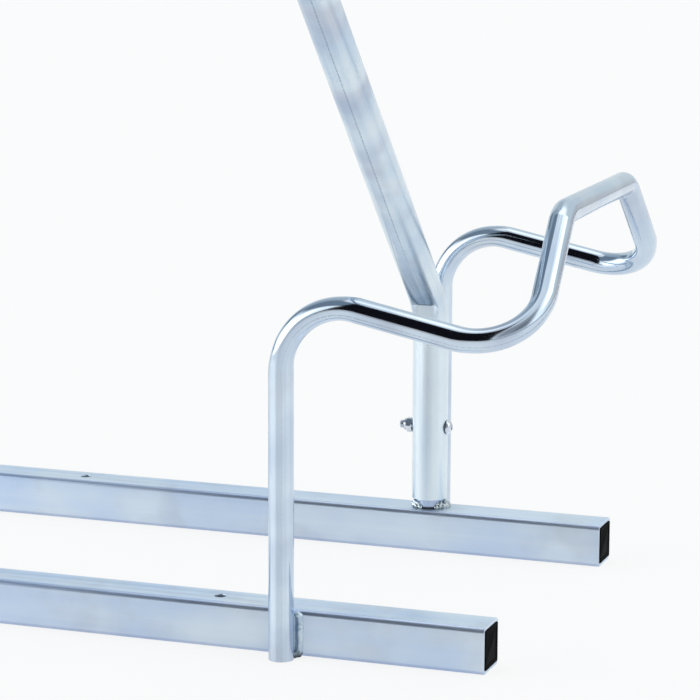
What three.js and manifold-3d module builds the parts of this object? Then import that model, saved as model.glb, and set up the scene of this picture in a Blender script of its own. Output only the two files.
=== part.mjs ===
// Bicycle rack of galvanised tube: two square ground rails, a raised wheel loop at each end,
// and at each end a leaning arm that sleeves over a stub on the rear rail and is bolted there.
// Millimetres. X runs along the rails, the arms lean towards -Y, Z is up, the floor is Z = 0.

import * as THREE from 'three';
import { mergeVertices } from 'three/addons/utils/BufferGeometryUtils.js';
import Module from 'manifold-3d';

const wasm = await Module();
wasm.setup();

// Gaps and overruns
const SEAT_GAP = 0.3;            // between pieces that touch
const CUT_OVERRUN = 1;           // how far a cutting tool runs past the wall it cuts

// Ground rails, square tube
const RAIL_SIDE = 40;
const RAIL_WALL = 3;
const RAIL_CORNER = 4.5;         // outside corner radius
const RAIL_PITCH = 365;          // centre line to centre line
const RAIL_OVERHANG = 172.5;     // from the legs of a wheel loop to the end of the rail
const LOOP_SPACING = 720;        // from the legs of one loop to the legs of the other
const FIXING_HOLE = 10;          // diameter
const FRONT_HOLE_INSET = 67;     // from the legs towards the middle of the rack

// Rail end plugs
const PLUG_PROUD = 0.8;          // face past the end of the rail
const PLUG_BEVEL = 0.6;
const PLUG_FACE = 3;             // thickness of the closed end
const PLUG_LENGTH = 20;
const PLUG_WALL = 2.5;

// Wheel loops, round pipe bent in one piece
const LOOP_DIAMETER = 21.3;
const LOOP_WALL = 2;
const LOOP_ARM_ROOT = 311.6;     // height where the lines of leg and arm cross
const LOOP_VALLEY = 267.8;       // height where the lines of arm and riser cross
const LOOP_REACH = 211.5;        // from the legs to the valley
const HOOP_TOP = 370.5;          // height of the crossbar
const HOOP_SETBACK = 5.6;        // crossbar nearer the legs than the valley is
const HOOP_WIDTH = 206.8;        // between the crossing lines of crossbar and risers
const LEG_BEND = 55;
const VALLEY_BEND = 54.4;
const HOOP_BEND = 28.8;

// Welds between legs and rails
const LEG_WELD_MARGIN = 4;       // from the rail's edge to the end of the bead
const LEG_WELD_TOE = 16;         // bead's reach along the rail's face from the middle of the leg
const LEG_WELD_GRIP = 62;        // degrees round the leg that the bead covers
const LEG_WELD_BULGE = 1.2;      // crown of the bead
const LEG_WELD_RIPPLE = 0.9;     // depth of the lumps
const LEG_WELD_LUMP_TURN = 2.4;  // radians of the ripple's wave from one ring to the next
const LEG_WELD_END_SHARE = 0.8;  // size of the bead at its two ends

// Stubs on the rear rail
const STUB_DIAMETER = 26.9;
const STUB_WALL = 2.3;
const STUB_HEIGHT = 150;
const STUB_WELD_LEG = 6.4;
const STUB_WELD_SPAN = 104;      // degrees round the stub
const STUB_WELD_RIPPLE = 1.1;
const STUB_WELD_LUMP_TURN = 2.2;
const STUB_WELD_END_SHARE = 0.7;
const STUB_WELD_SHARES = [[0, 0], [1, 0], [0.72, 0.52], [0.36, 0.84], [0, 1]];

// Leaning arms, round pipe with one pressed bend
const ARM_DIAMETER = 33.7;
const ARM_WALL = 2.6;
const ARM_FOOT_CLEARANCE = 9.3;  // from the top of the rail to the lower end of the arm
const ARM_BEND_HEIGHT = 232;     // height where the lines of upright and slope cross
const ARM_BEND_RADIUS = 60;
const ARM_LEAN = 45;             // degrees from upright
const ARM_SLOPE_LENGTH = 820;    // from the crossing of the lines to the upper end
const FOLD_ANGLE = 33.7;         // degrees into the bend where the inner wall folds
const DENT_LENGTH = 115;         // how far up the slope the pressed flat runs out
const PRESS_FLAT = 30;           // degrees from the inner line to the edge of the full flat
const PRESS_EDGE = 62;           // degrees from the inner line to where the pipe is round again

// Arm caps
const CAP_CROWN = 3.2;
const CAP_RIM = 1.6;
const CAP_INSERT = 16;
const CAP_WALL = 2.4;
const CAP_CROWN_SHARES = [[1, 0], [0.86, 0.6], [0.5, 0.9], [0, 1]];

// Arm bolts, M8 button-head screw with a collared lock nut
const BOLT_DIAMETER = 8;
const BOLT_HOLE = 9;
const BOLT_HEIGHT = 118.3;
const BOLT_HEAD_DIAMETER = 14;
const BOLT_HEAD_HEIGHT = 4.4;
const BOLT_SOCKET = 5;           // across flats
const BOLT_SOCKET_DEPTH = 2.6;
const BOLT_PROUD = 4.4;          // thread past the nut
const BOLT_CHAMFER = 1;
const NUT_ACROSS_FLATS = 13;
const NUT_HEX_HEIGHT = 5.4;
const NUT_HEIGHT = 8;
const NUT_COLLAR_DIAMETER = 11.6;

// Counts of facets
const LOOP_SIDES = 16;
const ARM_SIDES = 20;
const ROUND_SIDES = 20;
const BEND_STEP = 15;            // degrees of bend per ring
const FOLD_STEPS = 4;
const DENT_STEPS = 6;
const DOME_STEPS = 4;
const WELD_STEPS = 10;
const WELD_ARC_STEPS = 4;
const CORNER_STEPS = 3;
const BEVEL_STEPS = 2;

// Sizes that follow from the ones above
const RAIL_LENGTH = LOOP_SPACING + 2 * RAIL_OVERHANG;
const HALF_PITCH = RAIL_PITCH / 2;
const LOOP_RADIUS = LOOP_DIAMETER / 2;
const LEG_OFFSET = HALF_PITCH + RAIL_SIDE / 2 + SEAT_GAP + LOOP_RADIUS;
const ARM_RADIUS = ARM_DIAMETER / 2;
const STUB_RADIUS = STUB_DIAMETER / 2;

const X_AXIS = new THREE.Vector3(1, 0, 0);
const Y_AXIS = new THREE.Vector3(0, 1, 0);
const Z_AXIS = new THREE.Vector3(0, 0, 1);

const radians = THREE.MathUtils.degToRad;

function zincFinish(colour, roughness) {
  return () => new THREE.MeshStandardMaterial({ color: colour, roughness, metalness: 0.9 });
}

function plasticFinish() {
  return new THREE.MeshStandardMaterial({ color: 0x101114, roughness: 0.35, metalness: 0 });
}

const railFinish = zincFinish(0xb9c9d6, 0.35);
const loopFinish = zincFinish(0xc9d6df, 0.16);
const armFinish = zincFinish(0xc6d3dd, 0.38);
const weldFinish = zincFinish(0xa9b8c2, 0.45);
const fastenerFinish = zincFinish(0xd2d8de, 0.2);

// A closed mesh with shared vertices, as a solid that can be cut and joined.
function solidOf(geometry) {
  const bare = geometry.clone();
  bare.deleteAttribute('normal');
  bare.deleteAttribute('uv');
  const merged = mergeVertices(bare, SEAT_GAP / 1000);
  const mesh = new wasm.Mesh({
    numProp: 3,
    vertProperties: merged.getAttribute('position').array,
    triVerts: new Uint32Array(merged.getIndex().array),
  });
  return new wasm.Manifold(mesh);
}

function geometryOf(solid) {
  const mesh = solid.getMesh();
  const geometry = new THREE.BufferGeometry();
  geometry.setAttribute('position', new THREE.BufferAttribute(mesh.vertProperties, 3));
  geometry.setIndex(new THREE.BufferAttribute(mesh.triVerts, 1));
  geometry.computeVertexNormals();
  return geometry;
}

function cutAway(geometry, tools) {
  return geometryOf(tools.reduce((solid, tool) => solid.subtract(solidOf(tool)), solidOf(geometry)));
}

// Corners of a regular polygon, with its first corner at startAngle.
function polygonPoints(radius, sides, startAngle = 0) {
  return Array.from({ length: sides }, (_, index) => {
    const angle = startAngle + (2 * Math.PI * index) / sides;
    return new THREE.Vector2(radius * Math.cos(angle), radius * Math.sin(angle));
  });
}

// A square with round corners, centred, drawn into a Shape or a Path.
function roundedSquare(outline, side, corner) {
  const inner = side / 2 - corner;
  outline.absarc(inner, inner, corner, 0, Math.PI / 2);
  outline.absarc(-inner, inner, corner, Math.PI / 2, Math.PI);
  outline.absarc(-inner, -inner, corner, Math.PI, 1.5 * Math.PI);
  outline.absarc(inner, -inner, corner, 1.5 * Math.PI, 2 * Math.PI);
  outline.closePath();
  return outline;
}

// Extrusions are drawn in the YZ plane and run along +X.
function alongX(geometry) {
  return geometry.applyMatrix4(new THREE.Matrix4().makeBasis(Y_AXIS, Z_AXIS, X_AXIS));
}

// A cylinder or prism that starts at a point and runs along a direction.
function rod(radius, start, direction, length, sides = ROUND_SIDES) {
  const geometry = new THREE.CylinderGeometry(radius, radius, length, sides);
  geometry.applyQuaternion(new THREE.Quaternion().setFromUnitVectors(Y_AXIS, direction));
  const middle = start.clone().addScaledVector(direction, length / 2);
  return geometry.translate(middle.x, middle.y, middle.z);
}

// A lathe body whose axis is Z: the profile is drawn as (radius, height).
function turned(profile, sides = ROUND_SIDES) {
  const points = profile.map(([radius, height]) => new THREE.Vector2(radius, height));
  return new THREE.LatheGeometry(points, sides).rotateX(Math.PI / 2);
}

// Centre line of a bent pipe: straight runs between round bends. Rings of the sweep stand only at
// the ends of the straight runs and along the bends, so the curve is walked station by station.
class PipeLine extends THREE.Curve {
  constructor(corners, radii) {
    super();
    this.stations = [];
    const last = corners.length - 1;
    this.addStation(corners[0], corners[1].clone().sub(corners[0]));
    for (let index = 1; index < last; index += 1) {
      this.addBend(corners[index - 1], corners[index], corners[index + 1], radii[index - 1]);
    }
    this.addStation(corners[last], corners[last].clone().sub(corners[last - 1]));
  }

  addStation(point, tangent) {
    this.stations.push({ point: point.clone(), tangent: tangent.clone().normalize() });
  }

  addBend(before, corner, after, radius) {
    const incoming = corner.clone().sub(before).normalize();
    const outgoing = after.clone().sub(corner).normalize();
    const turn = incoming.angleTo(outgoing);
    const start = corner.clone().addScaledVector(incoming, -radius * Math.tan(turn / 2));
    const axis = incoming.clone().cross(outgoing).normalize();
    const inward = axis.clone().cross(incoming);
    const centre = start.clone().addScaledVector(inward, radius);
    const steps = Math.ceil(turn / radians(BEND_STEP));
    for (let step = 0; step <= steps; step += 1) {
      const angle = (turn * step) / steps;
      const spoke = inward.clone().multiplyScalar(-radius).applyAxisAngle(axis, angle);
      this.addStation(centre.clone().add(spoke), incoming.clone().applyAxisAngle(axis, angle));
    }
  }

  get steps() {
    return this.stations.length - 1;
  }

  pick(share) {
    return this.stations[Math.round(share * this.steps)];
  }

  getPoint(share, target = new THREE.Vector3()) {
    return target.copy(this.pick(share).point);
  }

  getPointAt(share, target) {
    return this.getPoint(share, target);
  }

  getTangent(share, target = new THREE.Vector3()) {
    return target.copy(this.pick(share).tangent);
  }

  getTangentAt(share, target) {
    return this.getTangent(share, target);
  }
}

function bentPipe(line, radius, wall, sides) {
  const section = new THREE.Shape(polygonPoints(radius, sides));
  section.holes.push(new THREE.Path(polygonPoints(radius - wall, sides)));
  return new THREE.ExtrudeGeometry(section, {
    steps: line.steps,
    bevelEnabled: false,
    extrudePath: line,
  });
}

// Walls between neighbouring rings of points, all rings with the same count.
function ringWalls(rings, base, faces, inward) {
  const count = rings[0].length;
  for (let ring = 0; ring < rings.length - 1; ring += 1) {
    for (let index = 0; index < count; index += 1) {
      const next = (index + 1) % count;
      const a = base + ring * count + index;
      const b = base + ring * count + next;
      const c = a + count;
      const d = b + count;
      faces.push(...(inward ? [a, c, b, b, c, d] : [a, b, c, b, d, c]));
    }
  }
}

function indexedGeometry(points, faces) {
  const geometry = new THREE.BufferGeometry().setFromPoints(points);
  geometry.setIndex(faces);
  geometry.computeVertexNormals();
  return geometry;
}

// A solid loft. The outline is the flat contour that closes both ends.
function loftSolid(rings, outline) {
  const faces = [];
  ringWalls(rings, 0, faces, false);
  const top = (rings.length - 1) * rings[0].length;
  for (const [a, b, c] of THREE.ShapeUtils.triangulateShape(outline, [])) {
    faces.push(a, c, b, top + a, top + b, top + c);
  }
  return indexedGeometry(rings.flat(), faces);
}

// A hollow loft, open at both ends, between outer rings and inner rings.
function loftPipe(outer, inner) {
  const faces = [];
  const count = outer[0].length;
  const base = outer.length * count;
  ringWalls(outer, 0, faces, false);
  ringWalls(inner, base, faces, true);
  const topOuter = (outer.length - 1) * count;
  const topInner = base + topOuter;
  for (let index = 0; index < count; index += 1) {
    const next = (index + 1) % count;
    faces.push(index, base + index, next, next, base + index, base + next);
    faces.push(topOuter + index, topOuter + next, topInner + index);
    faces.push(topOuter + next, topInner + next, topInner + index);
  }
  return indexedGeometry([...outer.flat(), ...inner.flat()], faces);
}

// Ground rails

function railGeometry(holePlaces) {
  const section = roundedSquare(new THREE.Shape(), RAIL_SIDE, RAIL_CORNER);
  section.holes.push(roundedSquare(new THREE.Path(), RAIL_SIDE - 2 * RAIL_WALL, RAIL_CORNER - RAIL_WALL));
  const tube = alongX(new THREE.ExtrudeGeometry(section, {
    depth: RAIL_LENGTH,
    bevelEnabled: false,
    curveSegments: CORNER_STEPS,
  }));
  tube.translate(-RAIL_LENGTH / 2, 0, 0);
  const drillStart = -RAIL_SIDE / 2 - CUT_OVERRUN;
  const drillLength = RAIL_SIDE + 2 * CUT_OVERRUN;
  return cutAway(tube, holePlaces.map((place) => (
    rod(FIXING_HOLE / 2, new THREE.Vector3(place, 0, drillStart), Z_AXIS, drillLength)
  )));
}

// A push-in plug that fills the bore of the tube, hollow from the inside. It points along +X.
function plugGeometry() {
  const side = RAIL_SIDE - 2 * RAIL_WALL - 2 * SEAT_GAP;
  const corner = RAIL_CORNER - RAIL_WALL - SEAT_GAP;
  const shape = roundedSquare(new THREE.Shape(), side - 2 * PLUG_BEVEL, corner);
  const body = alongX(new THREE.ExtrudeGeometry(shape, {
    depth: PLUG_LENGTH - 2 * PLUG_BEVEL,
    bevelEnabled: true,
    bevelThickness: PLUG_BEVEL,
    bevelSize: PLUG_BEVEL,
    bevelSegments: BEVEL_STEPS,
    curveSegments: CORNER_STEPS,
  }));
  body.translate(PLUG_PROUD - PLUG_LENGTH + PLUG_BEVEL, 0, 0);
  const hollowSide = side - 2 * PLUG_WALL;
  const hollowEnd = PLUG_PROUD - PLUG_FACE;
  const hollow = new THREE.BoxGeometry(PLUG_LENGTH, hollowSide, hollowSide);
  hollow.translate(hollowEnd - PLUG_LENGTH / 2, 0, 0);
  return cutAway(body, [hollow]);
}

// Wheel loops

function loopGeometry() {
  const corners = [];
  for (const side of [-1, 1]) {
    const half = [
      new THREE.Vector3(0, side * LEG_OFFSET, 0),
      new THREE.Vector3(0, side * LEG_OFFSET, LOOP_ARM_ROOT),
      new THREE.Vector3(LOOP_REACH, side * LEG_OFFSET, LOOP_VALLEY),
      new THREE.Vector3(LOOP_REACH - HOOP_SETBACK, side * HOOP_WIDTH / 2, HOOP_TOP),
    ];
    corners.push(...(side < 0 ? half : half.reverse()));
  }
  const radii = [LEG_BEND, VALLEY_BEND, HOOP_BEND, HOOP_BEND, VALLEY_BEND, LEG_BEND];
  return bentPipe(new PipeLine(corners, radii), LOOP_RADIUS, LOOP_WALL, LOOP_SIDES);
}

// A bead in the corner between a leg and the face of its rail. Seen from above, x is measured
// from the middle of the leg along the rail and y from the rail's face out to the leg.
function legWeldGeometry() {
  const reach = LOOP_RADIUS + SEAT_GAP;
  const root = Math.asin(Math.sqrt(reach ** 2 - LOOP_RADIUS ** 2) / reach);
  const grip = radians(LEG_WELD_GRIP);
  const low = LEG_WELD_MARGIN;
  const height = RAIL_SIDE - 2 * LEG_WELD_MARGIN;
  const outlineAt = (size) => {
    const points = [];
    for (let step = 0; step <= WELD_ARC_STEPS; step += 1) {
      const angle = root + (grip * size - root) * (step / WELD_ARC_STEPS);
      points.push(new THREE.Vector2(reach * Math.sin(angle), reach * (1 - Math.cos(angle))));
    }
    const shoulder = points[WELD_ARC_STEPS];
    const toe = new THREE.Vector2(LEG_WELD_TOE * size, SEAT_GAP);
    const crown = shoulder.clone().lerp(toe, 0.5);
    crown.add(new THREE.Vector2(LEG_WELD_BULGE, LEG_WELD_BULGE).multiplyScalar(size));
    points.push(crown, toe);
    return points;
  };
  const rings = [];
  for (let level = 0; level <= WELD_STEPS; level += 1) {
    const share = level / WELD_STEPS;
    const lump = (LEG_WELD_RIPPLE / LEG_WELD_TOE) * Math.sin(level * LEG_WELD_LUMP_TURN);
    const taper = level === 0 || level === WELD_STEPS ? LEG_WELD_END_SHARE : 1;
    const ring = outlineAt(taper + lump);
    rings.push(ring.map(({ x, y }) => new THREE.Vector3(x, y, low + height * share)).reverse());
  }
  return loftSolid(rings, outlineAt(1).reverse());
}

// Arm stubs

function stubGeometry() {
  const inner = STUB_RADIUS - STUB_WALL;
  const foot = SEAT_GAP;
  const tube = turned([
    [inner, foot],
    [STUB_RADIUS, foot],
    [STUB_RADIUS, foot + STUB_HEIGHT],
    [inner, foot + STUB_HEIGHT],
    [inner, foot],
  ], ARM_SIDES);
  const start = new THREE.Vector3(-STUB_RADIUS - CUT_OVERRUN, 0, BOLT_HEIGHT - RAIL_SIDE);
  return cutAway(tube, [rod(BOLT_HOLE / 2, start, X_AXIS, 2 * (STUB_RADIUS + CUT_OVERRUN))]);
}

// A lumpy bead round one side of the foot of a stub.
function stubWeldGeometry() {
  const span = radians(STUB_WELD_SPAN);
  const inner = STUB_RADIUS + SEAT_GAP;
  const outlineAt = (leg) => STUB_WELD_SHARES.map(([out, up]) => (
    new THREE.Vector2(inner + leg * out, SEAT_GAP + leg * up)
  ));
  const rings = [];
  for (let step = 0; step <= WELD_STEPS; step += 1) {
    const angle = span * (step / WELD_STEPS - 0.5);
    const taper = step === 0 || step === WELD_STEPS ? STUB_WELD_END_SHARE : 1;
    const leg = STUB_WELD_LEG * taper + STUB_WELD_RIPPLE * Math.sin(step * STUB_WELD_LUMP_TURN);
    rings.push(outlineAt(leg).map(({ x, y }) => (
      new THREE.Vector3(x * Math.cos(angle), x * Math.sin(angle), y)
    )));
  }
  rings.reverse();
  return loftSolid(rings, outlineAt(STUB_WELD_LEG));
}

// Leaning arms

// The inner wall of the bend doesn't follow the curve: it stands upright until the fold, and past
// it the slope starts with a pressed flat that runs out along the pipe. This gives how far the
// flat lies from the centre line, at an angle into the bend and a distance up the slope.
function flatDistance(bendAngle, upSlope) {
  const radius = ARM_RADIUS;
  const innerBend = ARM_BEND_RADIUS - radius;
  const uprightFlat = (angle) => ARM_BEND_RADIUS - innerBend / Math.cos(angle);
  const fold = radians(FOLD_ANGLE);
  if (bendAngle <= fold && upSlope === 0) {
    return uprightFlat(bendAngle);
  }
  const bendRest = ARM_BEND_RADIUS * (radians(ARM_LEAN) - bendAngle);
  const past = ARM_BEND_RADIUS * (radians(ARM_LEAN) - fold) - bendRest + upSlope;
  const share = Math.min(past / DENT_LENGTH, 1);
  return radius - (radius - uprightFlat(fold)) * (1 - share) ** 2;
}

// One ring of the arm: a circle whose inner side is pressed flat, with soft edges to the flat.
function armRing(centre, inward, radius, flat) {
  const ring = [];
  for (let index = 0; index < ARM_SIDES; index += 1) {
    const angle = (2 * Math.PI * index) / ARM_SIDES;
    const round = radius * Math.cos(angle);
    const offSide = Math.min(angle, 2 * Math.PI - angle);
    const press = 1 - THREE.MathUtils.smoothstep(offSide, radians(PRESS_FLAT), radians(PRESS_EDGE));
    const depth = round + press * (Math.min(round, flat) - round);
    ring.push(centre.clone()
      .addScaledVector(inward, depth)
      .addScaledVector(X_AXIS, radius * Math.sin(angle)));
  }
  return ring;
}

// Stations of the arm from its foot up: centre, direction to the inner side, place in the bend.
function armStations() {
  const lean = radians(ARM_LEAN);
  const tangentLength = ARM_BEND_RADIUS * Math.tan(lean / 2);
  const bendStart = ARM_BEND_HEIGHT - tangentLength - RAIL_SIDE;
  const bendCentre = new THREE.Vector3(0, -ARM_BEND_RADIUS, bendStart);
  const inwardAt = (angle) => new THREE.Vector3(0, -Math.cos(angle), -Math.sin(angle));
  const stations = [{
    centre: new THREE.Vector3(0, 0, ARM_FOOT_CLEARANCE), inward: inwardAt(0), angle: 0, upSlope: 0,
  }];
  const bendAt = (angle) => {
    const inward = inwardAt(angle);
    const centre = bendCentre.clone().addScaledVector(inward, -ARM_BEND_RADIUS);
    stations.push({ centre, inward, angle, upSlope: 0 });
  };
  const fold = radians(FOLD_ANGLE);
  for (let step = 0; step <= FOLD_STEPS; step += 1) {
    bendAt((fold * step) / FOLD_STEPS);
  }
  bendAt((fold + lean) / 2);
  bendAt(lean);
  const slope = new THREE.Vector3(0, -Math.sin(lean), Math.cos(lean));
  const inward = inwardAt(lean);
  const bendEnd = bendCentre.clone().addScaledVector(inward, -ARM_BEND_RADIUS);
  const slopeAt = (upSlope) => {
    const centre = bendEnd.clone().addScaledVector(slope, upSlope);
    stations.push({ centre, inward, angle: lean, upSlope });
  };
  for (let step = 1; step <= DENT_STEPS; step += 1) {
    slopeAt((DENT_LENGTH * step) / DENT_STEPS);
  }
  slopeAt(ARM_SLOPE_LENGTH - tangentLength);
  return stations;
}

function armGeometry() {
  const outer = [];
  const inner = [];
  for (const { centre, inward, angle, upSlope } of armStations()) {
    const flat = flatDistance(angle, upSlope);
    outer.push(armRing(centre, inward, ARM_RADIUS, flat));
    inner.push(armRing(centre, inward, ARM_RADIUS - ARM_WALL, flat - ARM_WALL));
  }
  const start = new THREE.Vector3(-ARM_RADIUS - CUT_OVERRUN, 0, BOLT_HEIGHT - RAIL_SIDE);
  const drill = rod(BOLT_HOLE / 2, start, X_AXIS, 2 * (ARM_RADIUS + CUT_OVERRUN));
  return cutAway(loftPipe(outer, inner), [drill]);
}

// A cap with a crowned top and a hollow insert. Its flange sits on the end of the arm.
function capGeometry() {
  const insert = ARM_RADIUS - ARM_WALL - SEAT_GAP;
  const rimTop = SEAT_GAP + CAP_RIM;
  return turned([
    [0, SEAT_GAP],
    [insert - CAP_WALL, SEAT_GAP],
    [insert - CAP_WALL, -CAP_INSERT],
    [insert, -CAP_INSERT],
    [insert, SEAT_GAP],
    [ARM_RADIUS, SEAT_GAP],
    ...CAP_CROWN_SHARES.map(([out, up]) => [ARM_RADIUS * out, rimTop + (CAP_CROWN - CAP_RIM) * up]),
  ], ARM_SIDES);
}

// Arm bolts. The head seats at seat and the thread runs back through the arm to the nut.

function boltGeometry() {
  const seat = ARM_RADIUS + SEAT_GAP;
  const tip = -seat - NUT_HEIGHT - BOLT_PROUD;
  const shank = BOLT_DIAMETER / 2;
  const head = BOLT_HEAD_DIAMETER / 2;
  const profile = [
    [0, tip],
    [shank - BOLT_CHAMFER, tip],
    [shank, tip + BOLT_CHAMFER],
    [shank, seat],
  ];
  for (let step = 0; step < DOME_STEPS; step += 1) {
    const angle = (Math.PI / 2) * (step / DOME_STEPS);
    profile.push([head * Math.cos(angle), seat + BOLT_HEAD_HEIGHT * Math.sin(angle)]);
  }
  profile.push([0, seat + BOLT_HEAD_HEIGHT]);
  const body = turned(profile).applyQuaternion(new THREE.Quaternion().setFromUnitVectors(Z_AXIS, X_AXIS));
  const socketRadius = BOLT_SOCKET / Math.sqrt(3);
  const socketStart = new THREE.Vector3(seat + BOLT_HEAD_HEIGHT - BOLT_SOCKET_DEPTH, 0, 0);
  const socket = rod(socketRadius, socketStart, X_AXIS, BOLT_SOCKET_DEPTH + CUT_OVERRUN, 6);
  return cutAway(body, [socket]);
}

function nutGeometry() {
  const inward = X_AXIS.clone().negate();
  const seat = new THREE.Vector3(-ARM_RADIUS - SEAT_GAP, 0, 0);
  const hex = rod(NUT_ACROSS_FLATS / Math.sqrt(3), seat, inward, NUT_HEX_HEIGHT, 6);
  const collar = rod(NUT_COLLAR_DIAMETER / 2, seat, inward, NUT_HEIGHT);
  const boreStart = seat.clone().addScaledVector(X_AXIS, CUT_OVERRUN);
  const bore = rod(BOLT_DIAMETER / 2 + SEAT_GAP, boreStart, inward, NUT_HEIGHT + 2 * CUT_OVERRUN);
  return geometryOf(solidOf(hex).add(solidOf(collar)).subtract(solidOf(bore)));
}

// Assembly

function addPiece(parent, name, geometry, material, place = [0, 0, 0], turn = 0) {
  const piece = new THREE.Mesh(geometry, material);
  piece.name = name;
  piece.position.set(...place);
  piece.rotation.z = turn;
  parent.add(piece);
  return piece;
}

const rack = new THREE.Group();
const sides = [
  { name: 'right', sign: 1, turn: 0 },
  { name: 'left', sign: -1, turn: Math.PI },
];

const frontHole = LOOP_SPACING / 2 - FRONT_HOLE_INSET;
addPiece(rack, 'front_rail', railGeometry([frontHole, -frontHole]), railFinish(),
  [0, -HALF_PITCH, RAIL_SIDE / 2]);
addPiece(rack, 'rear_rail', railGeometry([0]), railFinish(), [0, HALF_PITCH, RAIL_SIDE / 2]);

for (const side of sides) {
  const railEnd = side.sign * (RAIL_LENGTH / 2);
  for (const [rail, y] of [['front', -HALF_PITCH], ['rear', HALF_PITCH]]) {
    addPiece(rack, `${rail}_rail_plug_${side.name}`, plugGeometry(), plasticFinish(),
      [railEnd, y, RAIL_SIDE / 2], side.turn);
  }
}

// A bead is drawn for a leg in front of its rail, on its +X side. The other beads are the same
// bead turned about the leg, or turned over for the far side of the leg.
function addLegWelds(parent, side) {
  for (const [rail, railSign] of [['front', -1], ['rear', 1]]) {
    for (const [place, placeSign] of [['outer', 1], ['inner', -1]]) {
      const sign = side.sign * placeSign;
      const holder = new THREE.Group();
      holder.position.y = railSign * (HALF_PITCH + RAIL_SIDE / 2);
      const upsideDown = sign * railSign < 0;
      holder.rotation.x = upsideDown ? Math.PI : 0;
      holder.rotation.z = sign < 0 ? Math.PI : 0;
      holder.position.z = upsideDown ? RAIL_SIDE : 0;
      parent.add(holder);
      addPiece(holder, `${rail}_leg_weld_${side.name}_${place}`, legWeldGeometry(), weldFinish());
    }
  }
}

function addLeaningArm(parent, side) {
  const foot = new THREE.Group();
  foot.position.set(0, HALF_PITCH, RAIL_SIDE);
  parent.add(foot);
  addPiece(foot, `arm_stub_${side.name}`, stubGeometry(), armFinish());
  addPiece(foot, `stub_weld_${side.name}_outer`, stubWeldGeometry(), weldFinish(), [0, 0, 0], side.turn);
  addPiece(foot, `stub_weld_${side.name}_inner`, stubWeldGeometry(), weldFinish(), [0, 0, 0],
    side.turn + Math.PI);
  addPiece(foot, `lean_arm_${side.name}`, armGeometry(), armFinish());
  const boltPlace = [0, 0, BOLT_HEIGHT - RAIL_SIDE];
  addPiece(foot, `arm_bolt_${side.name}`, boltGeometry(), fastenerFinish(), boltPlace, side.turn);
  addPiece(foot, `arm_nut_${side.name}`, nutGeometry(), fastenerFinish(), boltPlace, side.turn);
  const top = armStations().at(-1).centre;
  const cap = addPiece(foot, `arm_cap_${side.name}`, capGeometry(), plasticFinish(), top.toArray());
  cap.rotation.x = radians(ARM_LEAN);
}

for (const side of sides) {
  const end = new THREE.Group();
  end.position.x = side.sign * (LOOP_SPACING / 2);
  rack.add(end);
  addPiece(end, `wheel_loop_${side.name}`, loopGeometry(), loopFinish(), [0, 0, 0], side.turn);
  addLegWelds(end, side);
  addLeaningArm(end, side);
}

// The origin is on the floor, in the middle of the box that the rack fills.
rack.updateMatrixWorld(true);
const bounds = new THREE.Box3().setFromObject(rack, true);
const middle = bounds.getCenter(new THREE.Vector3());
rack.position.set(-middle.x, -middle.y, -bounds.min.z);
rack.updateMatrixWorld(true);

export default rack;
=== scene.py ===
"""Looks of a galvanised bicycle rack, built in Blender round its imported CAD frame.

The rack has two square ground rails. At each end stands a wheel loop bent from one round pipe, and a
thicker pipe that sleeves over a short stub, is bolted there and leans over the rack. Each class below
makes one kind of piece the way the shop makes it, and gives it the finish of the real one.
"""

import logging
import math
from dataclasses import dataclass, field
from enum import Enum
from typing import Callable, Sequence

import bmesh
import bpy
import numpy as np
from bpy.types import Material, Mesh, Node, NodeSocket, Object, World
from mathutils import Matrix, Quaternion, Vector


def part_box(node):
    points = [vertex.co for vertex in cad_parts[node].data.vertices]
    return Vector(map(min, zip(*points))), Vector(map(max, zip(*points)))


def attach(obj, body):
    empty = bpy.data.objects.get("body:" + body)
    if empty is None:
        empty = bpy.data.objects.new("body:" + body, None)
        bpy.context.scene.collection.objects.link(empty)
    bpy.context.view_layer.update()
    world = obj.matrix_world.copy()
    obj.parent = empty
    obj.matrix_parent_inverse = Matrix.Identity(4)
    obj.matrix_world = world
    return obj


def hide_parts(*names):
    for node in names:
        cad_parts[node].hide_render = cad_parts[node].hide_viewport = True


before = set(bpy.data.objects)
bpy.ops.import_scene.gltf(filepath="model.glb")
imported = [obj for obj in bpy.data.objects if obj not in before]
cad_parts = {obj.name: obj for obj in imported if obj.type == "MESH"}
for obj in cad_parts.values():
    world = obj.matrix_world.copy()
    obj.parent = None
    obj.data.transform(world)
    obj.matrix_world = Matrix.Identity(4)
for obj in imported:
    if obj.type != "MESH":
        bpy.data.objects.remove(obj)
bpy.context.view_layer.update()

log = logging.getLogger("bicycle_rack")
logging.basicConfig(level=logging.INFO, format="%(message)s")

MM = 0.001
X_AXIS = Vector((1, 0, 0))
Y_AXIS = Vector((0, 1, 0))
Z_AXIS = Vector((0, 0, 1))
WHITE = (1, 1, 1, 1)
SMOOTH = {"interpolation_type": "SMOOTHSTEP"}
NOISE_SPAN = (0.25, 0.75)  # where most values of a noise lie
Source = Node | NodeSocket | Sequence[float] | float  # what an input of a node takes


class Side(Enum):
    """The two ends of the rack, with the sign of their X."""

    RIGHT = 1
    LEFT = -1

    @property
    def word(self) -> str:
        """The side's word in node names."""
        return self.name.lower()


class Slot(Enum):
    """The record's material slots."""

    RAIL = "rail_tube"
    LOOP = "loop_pipe"
    ARM = "arm_pipe"
    WELD = "weld_bead"
    FASTENER = "fastener"
    PLUG = "black_plug"


# Places taken from the CAD frame


def node_box(node: str) -> tuple[Vector, Vector]:
    """The lowest and highest corner of a CAD node, in metres."""
    low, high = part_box(node)
    return Vector(low), Vector(high)


def node_centre(node: str) -> Vector:
    """The middle of a CAD node's box."""
    low, high = node_box(node)
    return (low + high) / 2


# Bench tools: selection, modifiers and finishing of a piece


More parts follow.
